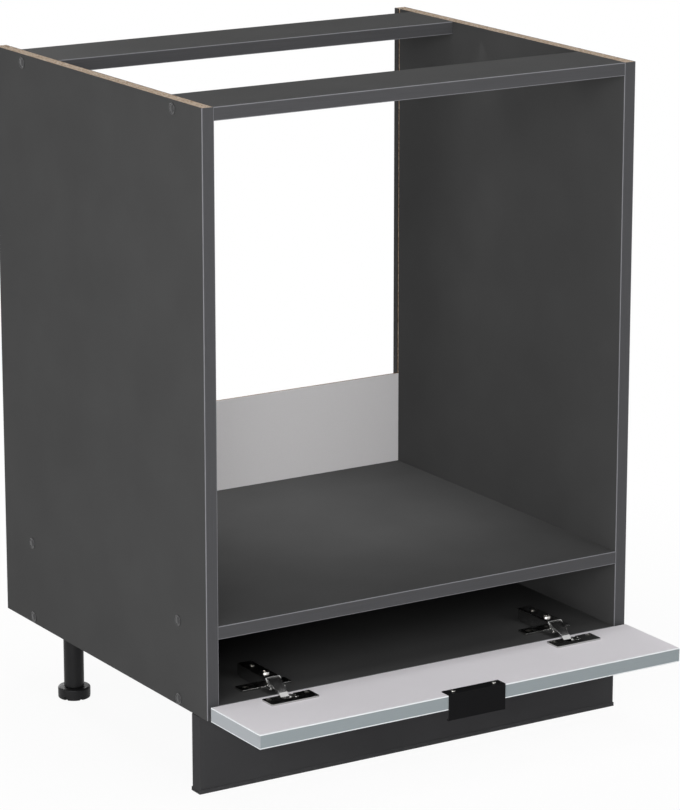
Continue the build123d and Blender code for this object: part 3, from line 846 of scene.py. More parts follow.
def node_mesh(node: str) -> bmesh.types.BMesh:
    """Copies a CAD node's solids, their loose triangles joined and their flat faces whole.

    Args:
        node: The CAD node.

    Returns:
        The copy, for the caller to free.
    """
    made = bmesh.new()
    made.from_mesh(frame["nodes"][node].data)
    bmesh.ops.remove_doubles(made, verts=made.verts, dist=JOIN_MM * MM)
    flat = math.radians(FLAT_DEGREES)
    bmesh.ops.dissolve_limit(made, angle_limit=flat, verts=made.verts, edges=made.edges)
    return made


def islands(mesh: bmesh.types.BMesh) -> list[list[bmesh.types.BMVert]]:
    """Finds the separate solids of a mesh.

    Args:
        mesh: The mesh.

    Returns:
        Each solid's corners.
    """
    found, seen = [], set()
    for start in mesh.verts:
        if start in seen:
            continue
        seen.add(start)
        group, left = [], [start]
        while left:
            corner = left.pop()
            group.append(corner)
            for edge in corner.link_edges:
                other = edge.other_vert(corner)
                if other not in seen:
                    seen.add(other)
                    left.append(other)
        found.append(group)
    return found


def corners_box(corners: Iterable[Vector]) -> tuple[Vector, Vector]:
    """Finds the box round some points.

    Args:
        corners: The points.

    Returns:
        The box's lowest and highest corner.
    """
    points = list(corners)
    low = Vector([min(p[i] for p in points) for i in range(3)])
    high = Vector([max(p[i] for p in points) for i in range(3)])
    return low, high


def node_box(node: str) -> tuple[Vector, Vector]:
    """The lowest and highest corner of a CAD node's box."""
    return corners_box(corner.co for corner in frame["nodes"][node].data.vertices)


def soften(piece: bpy.types.Object, width_mm: float = 0.0, steps: int = 2) -> bpy.types.Object:
    """Eases a piece's sharp edges and evens the shading of its flat faces.

    Args:
        piece: The piece, perhaps with a live Geometry Nodes modifier.
        width_mm: How wide the eased edges are, or 0 for none.
        steps: How many facets an eased edge has.

    Returns:
        The same piece, with its modifiers turned into its own mesh.
    """
    if width_mm:
        ease = piece.modifiers.new("ease", "BEVEL")
        ease.width = width_mm * MM
        ease.segments = steps
        ease.limit_method = "ANGLE"
        ease.angle_limit = math.radians(EASED_DEGREES)
        ease.use_clamp_overlap = True
        ease.material = 0
    even = piece.modifiers.new("even", "WEIGHTED_NORMAL")
    even.mode = "FACE_AREA"
    even.weight = 100
    even.keep_sharp = True
    return baked(piece)


def unit(axis: Axis, sign: float = 1.0) -> Vector:
    """Makes a vector of length 1 along an axis.

    Args:
        axis: The axis.
        sign: 1 or -1, for the vector's direction.

    Returns:
        The vector.
    """
    made = Vector((0.0, 0.0, 0.0))
    made[axis.value] = sign
    return made


def start_tree(
    name: str, sizes: Mapping[str, str]
) -> tuple[bpy.types.NodeTree, Mapping[str, bpy.types.NodeSocket]]:
    """Starts a Geometry Nodes tree.

    Args:
        name: The tree's name.
        sizes: Each input's name and its kind, such as Float or Vector.

    Returns:
        The tree, and the outputs of its input node by name.
    """
    tree = bpy.data.node_groups.new(name, "GeometryNodeTree")
    for label, kind in {"Geometry": "Geometry", **sizes, "Finish": "Material"}.items():
        tree.interface.new_socket(label, in_out="INPUT", socket_type=f"NodeSocket{kind}")
    tree.interface.new_socket("Geometry", in_out="OUTPUT", socket_type="NodeSocketGeometry")
    return tree, tree.nodes.new("NodeGroupInput").outputs


def end_tree(
    tree: bpy.types.NodeTree, shape: bpy.types.Node, finish: bpy.types.NodeSocket
) -> bpy.types.NodeTree:
    """Makes the tree's result real, gives it its finish and hands it out.

    Args:
        tree: The tree.
        shape: The node that gives the result.
        finish: The input that holds the material.

    Returns:
        The same tree.
    """
    real = add(tree, "GeometryNodeRealizeInstances", {"Geometry": shape})
    coated = add(tree, "GeometryNodeSetMaterial", {"Geometry": real, "Material": finish})
    add(tree, "NodeGroupOutput", {"Geometry": coated})
    return tree


def grown(
    name: str,
    tree: bpy.types.NodeTree,
    sizes: Mapping[str, Any],
    start: bpy.types.Mesh | None = None,
) -> bpy.types.Object:
    """Makes an object whose shape comes from a Geometry Nodes tree.

    Args:
        name: The object's name.
        tree: The tree.
        sizes: The value of each named input.
        start: A mesh for the tree to start from.

    Returns:
        The object, with the modifier still live.
    """
    piece = link(start or bpy.data.meshes.new(name), name)
    shape = piece.modifiers.new("shape", "NODES")
    shape.node_group = tree
    inputs = [item for item in tree.interface.items_tree if item.in_out == "INPUT"]
    places = {item.name: item.identifier for item in inputs}
    for label, value in sizes.items():
        shape[places[label]] = value
    return piece


def parted(tree: bpy.types.NodeTree) -> Sequence[bpy.types.NodeSocket]:
    """The X, Y and Z of the point that a tree works on."""
    return add(tree, "ShaderNodeSeparateXYZ", {0: add(tree, "GeometryNodeInputPosition")}).outputs


def aimed(tree: bpy.types.NodeTree) -> bpy.types.Node:
    """Adds the rotation that turns a pattern's Z axis to a point's way out of its hole.

    Args:
        tree: The tree.

    Returns:
        The node that gives the rotation.
    """
    way = add(tree, "GeometryNodeInputNamedAttribute", {"Name": WAY_OUT}, data_type="FLOAT_VECTOR")
    return add(tree, "FunctionNodeAlignRotationToVector", {"Vector": way}, axis="Z")


def narrowed(
    tree: bpy.types.NodeTree, shape: bpy.types.Node, share: bpy.types.Node
) -> bpy.types.Node:
    """Draws a shape's points towards the Z axis by a share that a rule gives for each.

    Args:
        tree: The tree.
        shape: The node that gives the shape.
        share: The node that gives the share of the distance that is left.

    Returns:
        The node that gives the narrowed shape.
    """
    x, y, z = parted(tree)
    near_x = add(tree, MATH, {0: x, 1: share}, operation="MULTIPLY")
    near_y = add(tree, MATH, {0: y, 1: share}, operation="MULTIPLY")
    spot = add(tree, "ShaderNodeCombineXYZ", {"X": near_x, "Y": near_y, "Z": z})
    return add(tree, SET_POSITION, {"Geometry": shape, "Position": spot})


def turned_round(tree: bpy.types.NodeTree) -> bpy.types.Node:
    """Adds a point's angle round the Z axis, in turns.

    Args:
        tree: The tree.

    Returns:
        The node that gives the turns, from -0.5 to 0.5.
    """
    x, y, _ = parted(tree)
    angle = add(tree, MATH, {0: y, 1: x}, operation="ARCTAN2")
    return add(tree, MATH, {0: angle, 1: 2 * math.pi}, operation="DIVIDE")


@cache
def strip_tree() -> bpy.types.NodeTree:
    """The tree for an edging strip: a flat section with two round corners, drawn out straight.

    Returns:
        A tree with the strip's sizes, its start and its three directions as inputs. It keeps
        each point's place across the strip, from -1 to 1, for the finish.
    """
    tree, size = start_tree(
        "edging_strip",
        {
            "Thickness": "Float",
            "Width": "Float",
            "Length": "Float",
            "Corner": "Float",
            "Start": "Vector",
            "Outward": "Vector",
            "Across": "Vector",
            "Along": "Vector",
        },
    )
    outline = add(
        tree,
        "GeometryNodeCurvePrimitiveQuadrilateral",
        {"Width": size["Thickness"], "Height": size["Width"]},
        mode="RECTANGLE",
    )
    x, y, z = parted(tree)
    outer = add(tree, MATH, {0: x, 1: 0.0}, operation="GREATER_THAN")
    radius = add(tree, MATH, {0: outer, 1: size["Corner"]}, operation="MULTIPLY")
    rounded = add(
        tree,
        "GeometryNodeFilletCurve",
        {"Curve": outline, "Count": 5, "Radius": radius},
        mode="POLY",
    )
    face = add(tree, "GeometryNodeFillCurve", {"Curve": rounded}, mode="NGONS")
    rise = add(tree, "ShaderNodeCombineXYZ", {"Z": size["Length"]})
    body = add(
        tree,
        "GeometryNodeExtrudeMesh",
        {"Mesh": face, "Offset": rise, "Offset Scale": 1.0, "Individual": False},
        mode="FACES",
    )
    # The extrusion leaves the near end open, so the section closes it, turned to face out.
    base = add(tree, "GeometryNodeFlipFaces", {"Mesh": face})
    both = add(tree, "GeometryNodeJoinGeometry", {"Geometry": [body, base]})
    whole = add(tree, "GeometryNodeMergeByDistance", {"Geometry": both, "Distance": WELD_MM * MM})
    half_width = add(tree, MATH, {0: size["Width"], 1: 0.5}, operation="MULTIPLY")
    share = add(tree, MATH, {0: y, 1: half_width}, operation="DIVIDE")
    kept = add(
        tree,
        "GeometryNodeStoreNamedAttribute",
        {"Geometry": whole, "Name": ACROSS, "Value": share},
        data_type="FLOAT",
        domain="POINT",
    )
    half = add(tree, MATH, {0: size["Thickness"], 1: 0.5}, operation="MULTIPLY")
    inward = add(tree, MATH, {0: x, 1: half}, operation="SUBTRACT")
    spot = size["Start"]
    for way, amount in (("Outward", inward), ("Across", y), ("Along", z)):
        part = add(tree, VECTOR_MATH, {0: size[way], "Scale": amount}, operation="SCALE")
        spot = add(tree, VECTOR_MATH, {0: spot, 1: part}, operation="ADD")
    laid = add(tree, SET_POSITION, {"Geometry": kept, "Position": spot})
    return end_tree(tree, laid, size["Finish"])


@cache
def fastener_tree() -> bpy.types.NodeTree:
    """The tree that sets one pattern on every point of a mesh, each turned at random.

    Returns:
        A tree with the pattern, the largest turn and the seed as inputs. The points carry
        the way out of the hole as a vector.
    """
    tree, size = start_tree("fasteners", {"Pattern": "Object", "Turn": "Float", "Seed": "Int"})
    pattern = add(tree, "GeometryNodeObjectInfo", {"Object": size["Pattern"], "As Instance": True})
    turn = add(
        tree,
        "FunctionNodeRandomValue",
        {"Min": 0.0, "Max": size["Turn"], "Seed": size["Seed"]},
        data_type="FLOAT",
    )
    twist = add(
        tree,
        "FunctionNodeAxisAngleToRotation",
        {"Axis": (0.0, 0.0, 1.0), "Angle": turn.outputs["Value"]},
    )
    turned = add(
        tree,
        "FunctionNodeRotateRotation",
        {"Rotation": aimed(tree), "Rotate By": twist},
        rotation_space="LOCAL",
    )
    placed = add(
        tree,
        "GeometryNodeInstanceOnPoints",
        {"Points": size["Geometry"], "Instance": pattern.outputs["Geometry"], "Rotation": turned},
    )
    return end_tree(tree, placed, size["Finish"])


@cache
def cap_tree() -> bpy.types.NodeTree:
    """The tree for cover caps: a disc whose face follows a dome, a groove round it and a flat rim.

    Returns:
        A tree that makes one cap on each point, facing the way out of the hole.
    """
    tree, size = start_tree(
        "cover_caps",
        {"Radius": "Float", "Height": "Float", "Stem Radius": "Float", "Stem Length": "Float"},
    )
    disc = add(
        tree,
        CYLINDER,
        {
            "Vertices": 64,
            "Side Segments": 4,
            "Fill Segments": 20,
            "Radius": size["Radius"],
            "Depth": size["Height"],
        },
        fill_type="TRIANGLE_FAN",
    )
    x, y, z = parted(tree)
    flat = add(tree, "ShaderNodeCombineXYZ", {"X": x, "Y": y})
    reach = add(tree, VECTOR_MATH, {0: flat}, operation="LENGTH").outputs["Value"]
    share = add(tree, MATH, {0: reach, 1: size["Radius"]}, operation="DIVIDE")
    rule = add(tree, "ShaderNodeFloatCurve", {"Factor": 1.0, "Value": share})
    # A new curve already has two points, so the first two of the section move these.
    points = rule.mapping.curves[0].points
    for old, place in zip(points, CAP_SECTION):
        old.location = place
    for place in CAP_SECTION[2:]:
        points.new(*place)
    rule.mapping.update()
    half = add(tree, MATH, {0: size["Height"], 1: 0.5}, operation="MULTIPLY")
    risen = add(tree, MATH, {0: z, 1: half}, operation="ADD")
    level = add(tree, MATH, {0: risen, 1: rule}, operation="MULTIPLY")
    spot = add(tree, "ShaderNodeCombineXYZ", {"X": x, "Y": y, "Z": level})
    shaped = add(tree, SET_POSITION, {"Geometry": disc, "Position": spot})
    stem = add(
        tree,
        CYLINDER,
        {"Vertices": 32, "Radius": size["Stem Radius"], "Depth": size["Stem Length"]},
        fill_type="TRIANGLE_FAN",
    )
    half_stem = add(tree, MATH, {0: size["Stem Length"], 1: -0.5}, operation="MULTIPLY")
    drop = add(tree, "ShaderNodeCombineXYZ", {"Z": half_stem})
    sunk = add(tree, TRANSFORM, {"Geometry": stem, "Translation": drop})
    cap = add(tree, "GeometryNodeJoinGeometry", {"Geometry": [shaped, sunk]})
    placed = add(
        tree,
        "GeometryNodeInstanceOnPoints",
        {"Points": size["Geometry"], "Instance": cap, "Rotation": aimed(tree)},
    )
    return end_tree(tree, placed, size["Finish"])


def foot_pad(
    tree: bpy.types.NodeTree, size: Mapping[str, bpy.types.NodeSocket]
) -> bpy.types.Node:
    """Adds a foot's pad: a disc with a round edge, and grip notches in its lower part.

    Args:
        tree: The foot's tree.
        size: The tree's inputs by name.

    Returns:
        The node that gives the pad, with its middle at the origin.
    """
    _, _, z = parted(tree)
    disc = add(
        tree,
        CYLINDER,
        {"Vertices": 192, "Side Segments": 24, "Radius": size["Radius"], "Depth": size["Height"]},
        fill_type="TRIANGLE_FAN",
    )
    # How far the round edge draws a point in, from how far it lies past the straight part.
    half = add(tree, MATH, {0: size["Height"], 1: 0.5}, operation="MULTIPLY")
    away = add(tree, MATH, {0: z}, operation="ABSOLUTE")
    straight = add(tree, MATH, {0: half, 1: size["Rounding"]}, operation="SUBTRACT")
    over = add(tree, MATH, {0: away, 1: straight}, operation="SUBTRACT")
    past = add(tree, MATH, {0: over, 1: 0.0}, operation="MAXIMUM")
    round_square = add(tree, MATH, {0: size["Rounding"], 1: 2.0}, operation="POWER")
    past_square = add(tree, MATH, {0: past, 1: 2.0}, operation="POWER")
    left = add(tree, MATH, {0: round_square, 1: past_square}, operation="SUBTRACT")
    held = add(tree, MATH, {0: left, 1: 0.0}, operation="MAXIMUM")
    reach = add(tree, MATH, {0: held}, operation="SQRT")
    inset = add(tree, MATH, {0: size["Rounding"], 1: reach}, operation="SUBTRACT")
    # How far round the rim a point lies from the middle of the nearest notch.
    count = add(tree, MATH, {0: turned_round(tree), 1: size["Notches"]}, operation="MULTIPLY")
    part = add(tree, MATH, {0: count}, operation="FRACT")
    middle = add(tree, MATH, {0: part, 1: 0.5}, operation="SUBTRACT")
    beside = add(tree, MATH, {0: middle}, operation="ABSOLUTE")
    rim = add(tree, MATH, {0: size["Radius"], 1: 2 * math.pi}, operation="MULTIPLY")
    step = add(tree, MATH, {0: rim, 1: size["Notches"]}, operation="DIVIDE")
    arc = add(tree, MATH, {0: beside, 1: step}, operation="MULTIPLY")
    # The notch fades out over a short way at its sides and at its upper end.
    side = add(tree, MATH, {0: size["Notch Width"], 1: 0.5}, operation="MULTIPLY")
    ceiling = add(tree, MATH, {0: size["Notch Height"], 1: half}, operation="SUBTRACT")
    carved = size["Notch Depth"]
    for spot, limit in ((arc, side), (z, ceiling)):
        faded = add(tree, MATH, {0: limit, 1: size["Notch Fade"]}, operation="ADD")
        within = add(
            tree,
            MAP_RANGE,
            {"Value": spot, "From Min": faded, "From Max": limit},
            interpolation_type="SMOOTHSTEP",
        )
        carved = add(tree, MATH, {0: carved, 1: within}, operation="MULTIPLY")
    rounded = add(tree, MATH, {0: size["Radius"], 1: inset}, operation="SUBTRACT")
    wanted = add(tree, MATH, {0: rounded, 1: carved}, operation="SUBTRACT")
    share = add(tree, MATH, {0: wanted, 1: size["Radius"]}, operation="DIVIDE")
    return narrowed(tree, disc, share)


def foot_spindle(
    tree: bpy.types.NodeTree, size: Mapping[str, bpy.types.NodeSocket]
) -> bpy.types.Node:
    """Adds a foot's spindle: a rod with a thread that winds up round it.

    Args:
        tree: The foot's tree.
        size: The tree's inputs by name.

    Returns:
        The node that gives the spindle, standing on the pad.
    """
    _, _, z = parted(tree)
    rod = add(
        tree,
        CYLINDER,
        {
            "Vertices": 24,
            "Side Segments": 176,
            "Radius": size["Spindle Radius"],
            "Depth": size["Spindle Length"],
        },
        fill_type="TRIANGLE_FAN",
    )
    rise = add(tree, MATH, {0: z, 1: size["Pitch"]}, operation="DIVIDE")
    wound = add(tree, MATH, {0: rise, 1: turned_round(tree)}, operation="SUBTRACT")
    part = add(tree, MATH, {0: wound}, operation="FRACT")
    middle = add(tree, MATH, {0: part, 1: 0.5}, operation="SUBTRACT")
    beside = add(tree, MATH, {0: middle}, operation="ABSOLUTE")
    groove = add(tree, MATH, {0: beside, 1: 2.0}, operation="MULTIPLY")
    cut = add(tree, MATH, {0: groove, 1: size["Thread Depth"]}, operation="MULTIPLY")
    wanted = add(tree, MATH, {0: size["Spindle Radius"], 1: cut}, operation="SUBTRACT")
    share = add(tree, MATH, {0: wanted, 1: size["Spindle Radius"]}, operation="DIVIDE")
    half = add(tree, MATH, {0: size["Height"], 1: 0.5}, operation="MULTIPLY")
    half_rod = add(tree, MATH, {0: size["Spindle Length"], 1: 0.5}, operation="MULTIPLY")
    lift = add(tree, MATH, {0: half, 1: half_rod}, operation="ADD")
    up = add(tree, "ShaderNodeCombineXYZ", {"Z": lift})
    screw = narrowed(tree, rod, share)
    return add(tree, TRANSFORM, {"Geometry": screw, "Translation": up})


@cache
def foot_tree() -> bpy.types.NodeTree:
    """The tree for a screw foot: a round edged disc with grip notches and a threaded spindle.

    Returns:
        A tree whose disc and spindle are cylinders bent by two rules, one for the round edge
        and the notches and one for the thread.
    """
    tree, size = start_tree(
        "screw_foot",
        {
            "Radius": "Float",
            "Height": "Float",
            "Rounding": "Float",
            "Notches": "Float",
            "Notch Width": "Float",
            "Notch Depth": "Float",
            "Notch Height": "Float",
            "Notch Fade": "Float",
            "Spindle Radius": "Float",
            "Spindle Length": "Float",
            "Pitch": "Float",
            "Thread Depth": "Float",
            "Place": "Vector",
        },
    )
    parts = [foot_pad(tree, size), foot_spindle(tree, size)]
    both = add(tree, "GeometryNodeJoinGeometry", {"Geometry": parts})
    laid = add(tree, TRANSFORM, {"Geometry": both, "Translation": size["Place"]})
    return end_tree(tree, laid, size["Finish"])


def shaded(piece: bpy.types.Object) -> bpy.types.Object:
    """Makes a grown piece's shape its own mesh, smooth with its sharp edges kept.

    Args:
        piece: The piece, with its modifier still live.

    Returns:
        The same piece.
    """
    baked(piece)
    for face in piece.data.polygons:
        face.use_smooth = True
    piece.data.set_sharp_from_angle(angle=math.radians(SHARP_DEGREES))
    return piece


def settle(piece: bpy.types.Object, node: str) -> bpy.types.Object:
    """Keeps a finished piece inside its node's box, rides it and lets it stand for the node.

    Args:
        piece: The finished piece.
        node: The CAD node that it replaces.

    Returns:
        The same piece.
    """
    # A turned screw or an eased corner can stand some hundredths of a millimetre proud.
    low, high = node_box(node)
    for corner in piece.data.vertices:
        corner.co = [min(max(at, least), most) for at, least, most in zip(corner.co, low, high)]
    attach(piece, frame["nodes"][node]["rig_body"])
    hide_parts(node)
    logger.info("%s: %d faces", piece.name, len(piece.data.polygons))
    return piece


@dataclass
class Eased:
    """A solid piece of the model with its sharp edges eased."""

    node: str
    finish: Finish
    easing_mm: float = 0.25
    steps: int = 2
    suffix: str = "eased"

    def build(self) -> bpy.types.Object:
        """Builds the eased piece, in place of its node.

        Returns:
            The piece.
        """
        shape = node_mesh(self.node)
        mesh = bpy.data.meshes.new(f"{self.node}_{self.suffix}")
        mesh.materials.append(self.finish.material())
        self.mark(shape, mesh)
        shape.to_mesh(mesh)
        shape.free()
        piece = link(mesh, mesh.name)
        for face in mesh.polygons:
            face.use_smooth = True
        return settle(soften(piece, self.easing_mm, self.steps), self.node)

    def mark(self, shape: bmesh.types.BMesh, mesh: bpy.types.Mesh) -> None:
        """Gives faces other finishes where the piece has them."""


@dataclass
class FacedBoard(Eased):
    """A faced board: finish on its two broad faces, bare core wherever it is cut or bored.

    A face is broad when it lies no deeper than the face depth and its normal's share across
    the board is over the face turn.
    """

    across: Axis = Axis.Z
    core: Finish = CORES[Axis.Z]
    suffix: str = "board"
    face_depth_mm: float = 0.05
    face_turn: float = 0.9

    def mark(self, shape: bmesh.types.BMesh, mesh: bpy.types.Mesh) -> None:
        """Marks the cut faces as core, and keeps each point's place through the board.

        Args:
            shape: The board's shape, before it becomes the mesh.
            mesh: The mesh that holds the materials.
        """
        mesh.materials.append(self.core.material())
        side = self.across.value
        low, high = corners_box(v.co for v in shape.verts)
        for face in shape.faces:
            middle = face.calc_center_median()[side]
            off_face = min(abs(middle - low[side]), abs(middle - high[side]))
            flush = off_face < self.face_depth_mm * MM
            broad = flush and abs(face.normal[side]) > self.face_turn
            face.material_index = 0 if broad else 1
        layer = shape.verts.layers.float.new(ACROSS)
        centre, half = (low[side] + high[side]) / 2, (high[side] - low[side]) / 2
        for corner in shape.verts:
            corner[layer] = (corner.co[side] - centre) / half


@dataclass
class Strip:
    """An edging strip with round corners, drawn out along its board's edge."""

    node: str
    finish: AbsEdging
    outward: Axis
    sign: float = -1.0
    corner_mm: float = 0.7

    def build(self) -> bpy.types.Object:
        """Grows the strip in its node's own box.

        Returns:
            The piece.
        """
        low, high = node_box(self.node)
        size, middle = high - low, (low + high) / 2
        out = unit(self.outward, self.sign)
        along = unit(self.finish.along)
        across = along.cross(out)
        thickness, width, length = (abs(size.dot(way)) for way in (out, across, along))
        start = middle + out * (thickness / 2) - along * (length / 2)
        values = {
            "Thickness": thickness,
            "Width": width,
            "Length": length,
            "Corner": self.corner_mm * MM,
            "Start": start,
            "Outward": out,
            "Across": across,
            "Along": along,
            "Finish": self.finish.material(),
        }
        piece = grown(f"{self.node}_strip", strip_tree(), values)
        return settle(soften(shaded(piece)), self.node)


@dataclass
class Fasteners:
    """One node's screws, caps or dowels, set where the model has them.

    Heads face along the outward axis, or each away from the cabinet's middle when the sign
    is None.
    """

    node: str
    finish: Finish
    outward: Axis
    sign: float | None = 1.0
    easing_mm: float = 0.1
    seed: int = 7

    def points(self) -> tuple[bpy.types.Mesh, list[Vector], list[list[Vector]]]:
        """Finds where each fastener's head ends, as a mesh whose points carry the way out.

        Returns:
            The mesh, the ways out, and each solid's corners.
        """
        shape = node_mesh(self.node)
        solids = [[corner.co.copy() for corner in group] for group in islands(shape)]
        shape.free()
        heads, ways = [], []
        for solid in solids:
            low, high = corners_box(solid)
            middle = (low + high) / 2
            sign = self.sign or math.copysign(1.0, middle[self.outward.value])
            out = unit(self.outward, sign)
            heads.append(middle + out * (abs((high - low).dot(out)) / 2))
            ways.append(out)
        mesh = bpy.data.meshes.new(f"{self.node}_set")
        mesh.from_pydata(heads, [], [])
        layer = mesh.attributes.new(WAY_OUT, "FLOAT_VECTOR", "POINT")
        for spot, way in zip(layer.data, ways):
            spot.vector = way
        return mesh, ways, solids

    def pattern(self, head: Vector, way: Vector) -> bpy.types.Object:
        """Makes the pattern: the node's first solid, its head's end at the origin, facing up.

        Args:
            head: Where the first solid's head ends.
            way: The way out of its hole.

        Returns:
            The pattern, to be removed when the fasteners are made.
        """
        shape = node_mesh(self.node)
        first = set(islands(shape)[0])
        spare = [corner for corner in shape.verts if corner not in first]
        bmesh.ops.delete(shape, geom=spare, context="VERTS")
        turn = way.rotation_difference(unit(Axis.Z)).to_matrix()
        for corner in shape.verts:
            corner.co = turn @ (corner.co - head)
        mesh = bpy.data.meshes.new(f"{self.node}_pattern")
        shape.to_mesh(mesh)
        shape.free()
        for face in mesh.polygons:
            face.use_smooth = True
        return soften(link(mesh, mesh.name), self.easing_mm)

    def build(self) -> bpy.types.Object:
        """Sets the fasteners, each turned by chance about its own axis.

        Returns:
            The piece.
        """
        mesh, ways, _ = self.points()
        pattern = self.pattern(mesh.vertices[0].co.copy(), ways[0])
        values = {
            "Pattern": pattern,
            "Turn": 2 * math.pi,
            "Seed": self.seed,
            "Finish": self.finish.material(),
        }
        piece = shaded(grown(mesh.name, fastener_tree(), values, mesh))
        bpy.data.objects.remove(pattern)
        return settle(soften(piece), self.node)


@dataclass
class CoverCaps(Fasteners):
    """The domed caps over the carcass screws, each grown with its stem by one rule."""

    stem_radius_mm: float = 2.1
    stem_length_mm: float = 2.2

    def build(self) -> bpy.types.Object:
        """Sets one cap on each screw, facing out of its side panel.

        Returns:
            The piece.
        """
        mesh, ways, solids = self.points()
        low, high = corners_box(solids[0])
        across = (high - low)[Axis.Y.value]
        height = (high - low)[self.outward.value] - self.stem_length_mm * MM
        for corner, way in zip(mesh.vertices, ways):
            corner.co = corner.co - way * height
        values = {
            "Radius": across / 2,
            "Height": height,
            "Stem Radius": self.stem_radius_mm * MM,
            "Stem Length": self.stem_length_mm * MM,
            "Finish": self.finish.material(),
        }
        piece = grown(mesh.name, cap_tree(), values, mesh)
        return settle(soften(shaded(piece)), self.node)


@dataclass
class Carcass:
    """The glued and screwed box: sides, bottom, shelf, rails, low back and their edging."""

    easing_mm: float = 0.2
    dowel_easing_mm: float = 0.6

    def build(self) -> None:
        """Builds the boards, the back, the edging and what joins them."""
        for side in Side:
            node, core = f"{side.value}_side_panel", CORES[Axis.X]
            FacedBoard(node, CARCASS_FACE, self.easing_mm, across=Axis.X, core=core).build()
        for node in ("bottom_panel", "oven_shelf", "front_rail", "rear_rail"):
            FacedBoard(node, CARCASS_FACE, self.easing_mm).build()
        FacedBoard("back_panel", BACK_PAINT, self.easing_mm, across=Axis.Y, core=BACK_RAW).build()
        for side in Side:
            Strip(f"{side.value}_side_edge_band", CARCASS_EDGING[Axis.Z], Axis.Y).build()
        for board in ("bottom", "shelf", "front_rail", "rear_rail"):
            Strip(f"{board}_edge_band", CARCASS_EDGING[Axis.X], Axis.Y).build()
        Fasteners("carcass_screws", ZINC, Axis.X, None).build()
        Fasteners("wooden_dowels", DOWEL_BEECH, Axis.X, None, self.dowel_easing_mm).build()
        CoverCaps("screw_caps", CAP_ABS, Axis.X, None).build()


@dataclass
class CupHinges:
    """The two concealed cup hinges with their plates, arms, straps, links, cups and screws."""

    sheet_easing_mm: float = 0.2
    cup_easing_mm: float = 0.45
    pin_easing_mm: float = 0.1

    def build(self) -> None:
        """Builds both hinges."""
        for side in Side:
            for node in ("hinge_mounting_plate", "hinge_arm", "hinge_strap", "inner_link"):
                Eased(f"{side.value}_{node}", NICKEL, self.sheet_easing_mm).build()
            Eased(f"{side.value}_hinge_cup", NICKEL, self.cup_easing_mm).build()
        for node in ("arm_link_pins", "cup_pins"):
            Eased(node, PIN_NICKEL, self.pin_easing_mm).build()
        for node, finish in (
            ("hinge_plate_screws", DARK_ZINC),
            ("arm_fixing_screws", PIN_NICKEL),
            ("arm_adjusting_screws", DARK_ZINC),
            ("cup_screws", DARK_ZINC),
        ):
            Fasteners(node, finish, Axis.Z).build()


@dataclass
class Flap:
    """The drop flap with its edging and pull."""

    board_easing_mm: float = 0.1
    handle_easing_mm: float = 0.25

    def build(self) -> None:
        """Builds the flap's pieces."""
        FacedBoard("flap_panel", FLAP_FACE, self.board_easing_mm).build()
        for end, sign in (("hinge", 1.0), ("free", -1.0)):
            Strip(f"flap_{end}_edge_band", FLAP_EDGING[Axis.X], Axis.Y, sign).build()
        for side, sign in ((Side.LEFT, -1.0), (Side.RIGHT, 1.0)):
            Strip(f"flap_{side.value}_edge_band", FLAP_EDGING[Axis.Y], Axis.X, sign).build()
        Eased("flap_handle", HANDLE_BLACK, self.handle_easing_mm).build()
        Fasteners("handle_screws", ZINC, Axis.Z).build()


@dataclass
class Plinth:
    """The clip on plinth with its floor seal."""

    board_easing_mm: float = 0.9
    board_steps: int = 3
    seal_easing_mm: float = 0.15
    clip_easing_mm: float = 0.3

    def build(self) -> None:
        """Builds the plinth's pieces."""
        Eased("plinth_panel", PLINTH_FACE, self.board_easing_mm, self.board_steps).build()
        Eased("plinth_seal", SEAL_PVC, self.seal_easing_mm).build()
        for side in Side:
            Eased(f"{side.value}_plinth_clip", CLIP_PP, self.clip_easing_mm).build()
        Fasteners("plinth_clip_screws", ZINC, Axis.Y).build()


@dataclass
class Legs:
    """The four levelling legs."""

    socket_easing_mm: float = 0.4
    tube_easing_mm: float = 0.3
    foot_height_mm: float = 14.8
    rounding_mm: float = 2.0
    notches: int = 6
    notch_width_mm: float = 3.6
    notch_depth_mm: float = 2.4
    notch_height_mm: float = 4.4
    notch_fade_mm: float = 0.5
    spindle_radius_mm: float = 5.0
    pitch_mm: float = 2.0
    thread_depth_mm: float = 0.6

    def build(self) -> None:
        """Builds every leg's socket, tube and foot."""
        for row in Row:
            for side in Side:
                name = f"{row.value}_{side.value}"
                Eased(f"{name}_leg_socket", LEG_PP, self.socket_easing_mm).build()
                Eased(f"{name}_leg_tube", LEG_PP, self.tube_easing_mm).build()
                self.foot(f"{name}_leg_foot")
        Fasteners("leg_socket_screws", ZINC, Axis.Z, -1.0).build()

    def foot(self, node: str) -> bpy.types.Object:
        """Grows one screw foot, standing where its node stands.

        Args:
            node: The foot's node.

        Returns:
            The piece.
        """
        low, high = node_box(node)
        middle, size = (low + high) / 2, high - low
        height = self.foot_height_mm * MM
        values = {
            "Radius": size[Axis.X.value] / 2,
            "Height": height,
            "Rounding": self.rounding_mm * MM,
            "Notches": float(self.notches),
            "Notch Width": self.notch_width_mm * MM,
            "Notch Depth": self.notch_depth_mm * MM,
            "Notch Height": self.notch_height_mm * MM,
            "Notch Fade": self.notch_fade_mm * MM,
            "Spindle Radius": self.spindle_radius_mm * MM,
            "Spindle Length": size[Axis.Z.value] - height,
            "Pitch": self.pitch_mm * MM,
            "Thread Depth": self.thread_depth_mm * MM,
            "Place": (middle.x, middle.y, low.z + height / 2),
            "Finish": LEG_PP.material(),
        }
        piece = grown(f"{node}_screw", foot_tree(), values)
        return settle(soften(shaded(piece)), node)


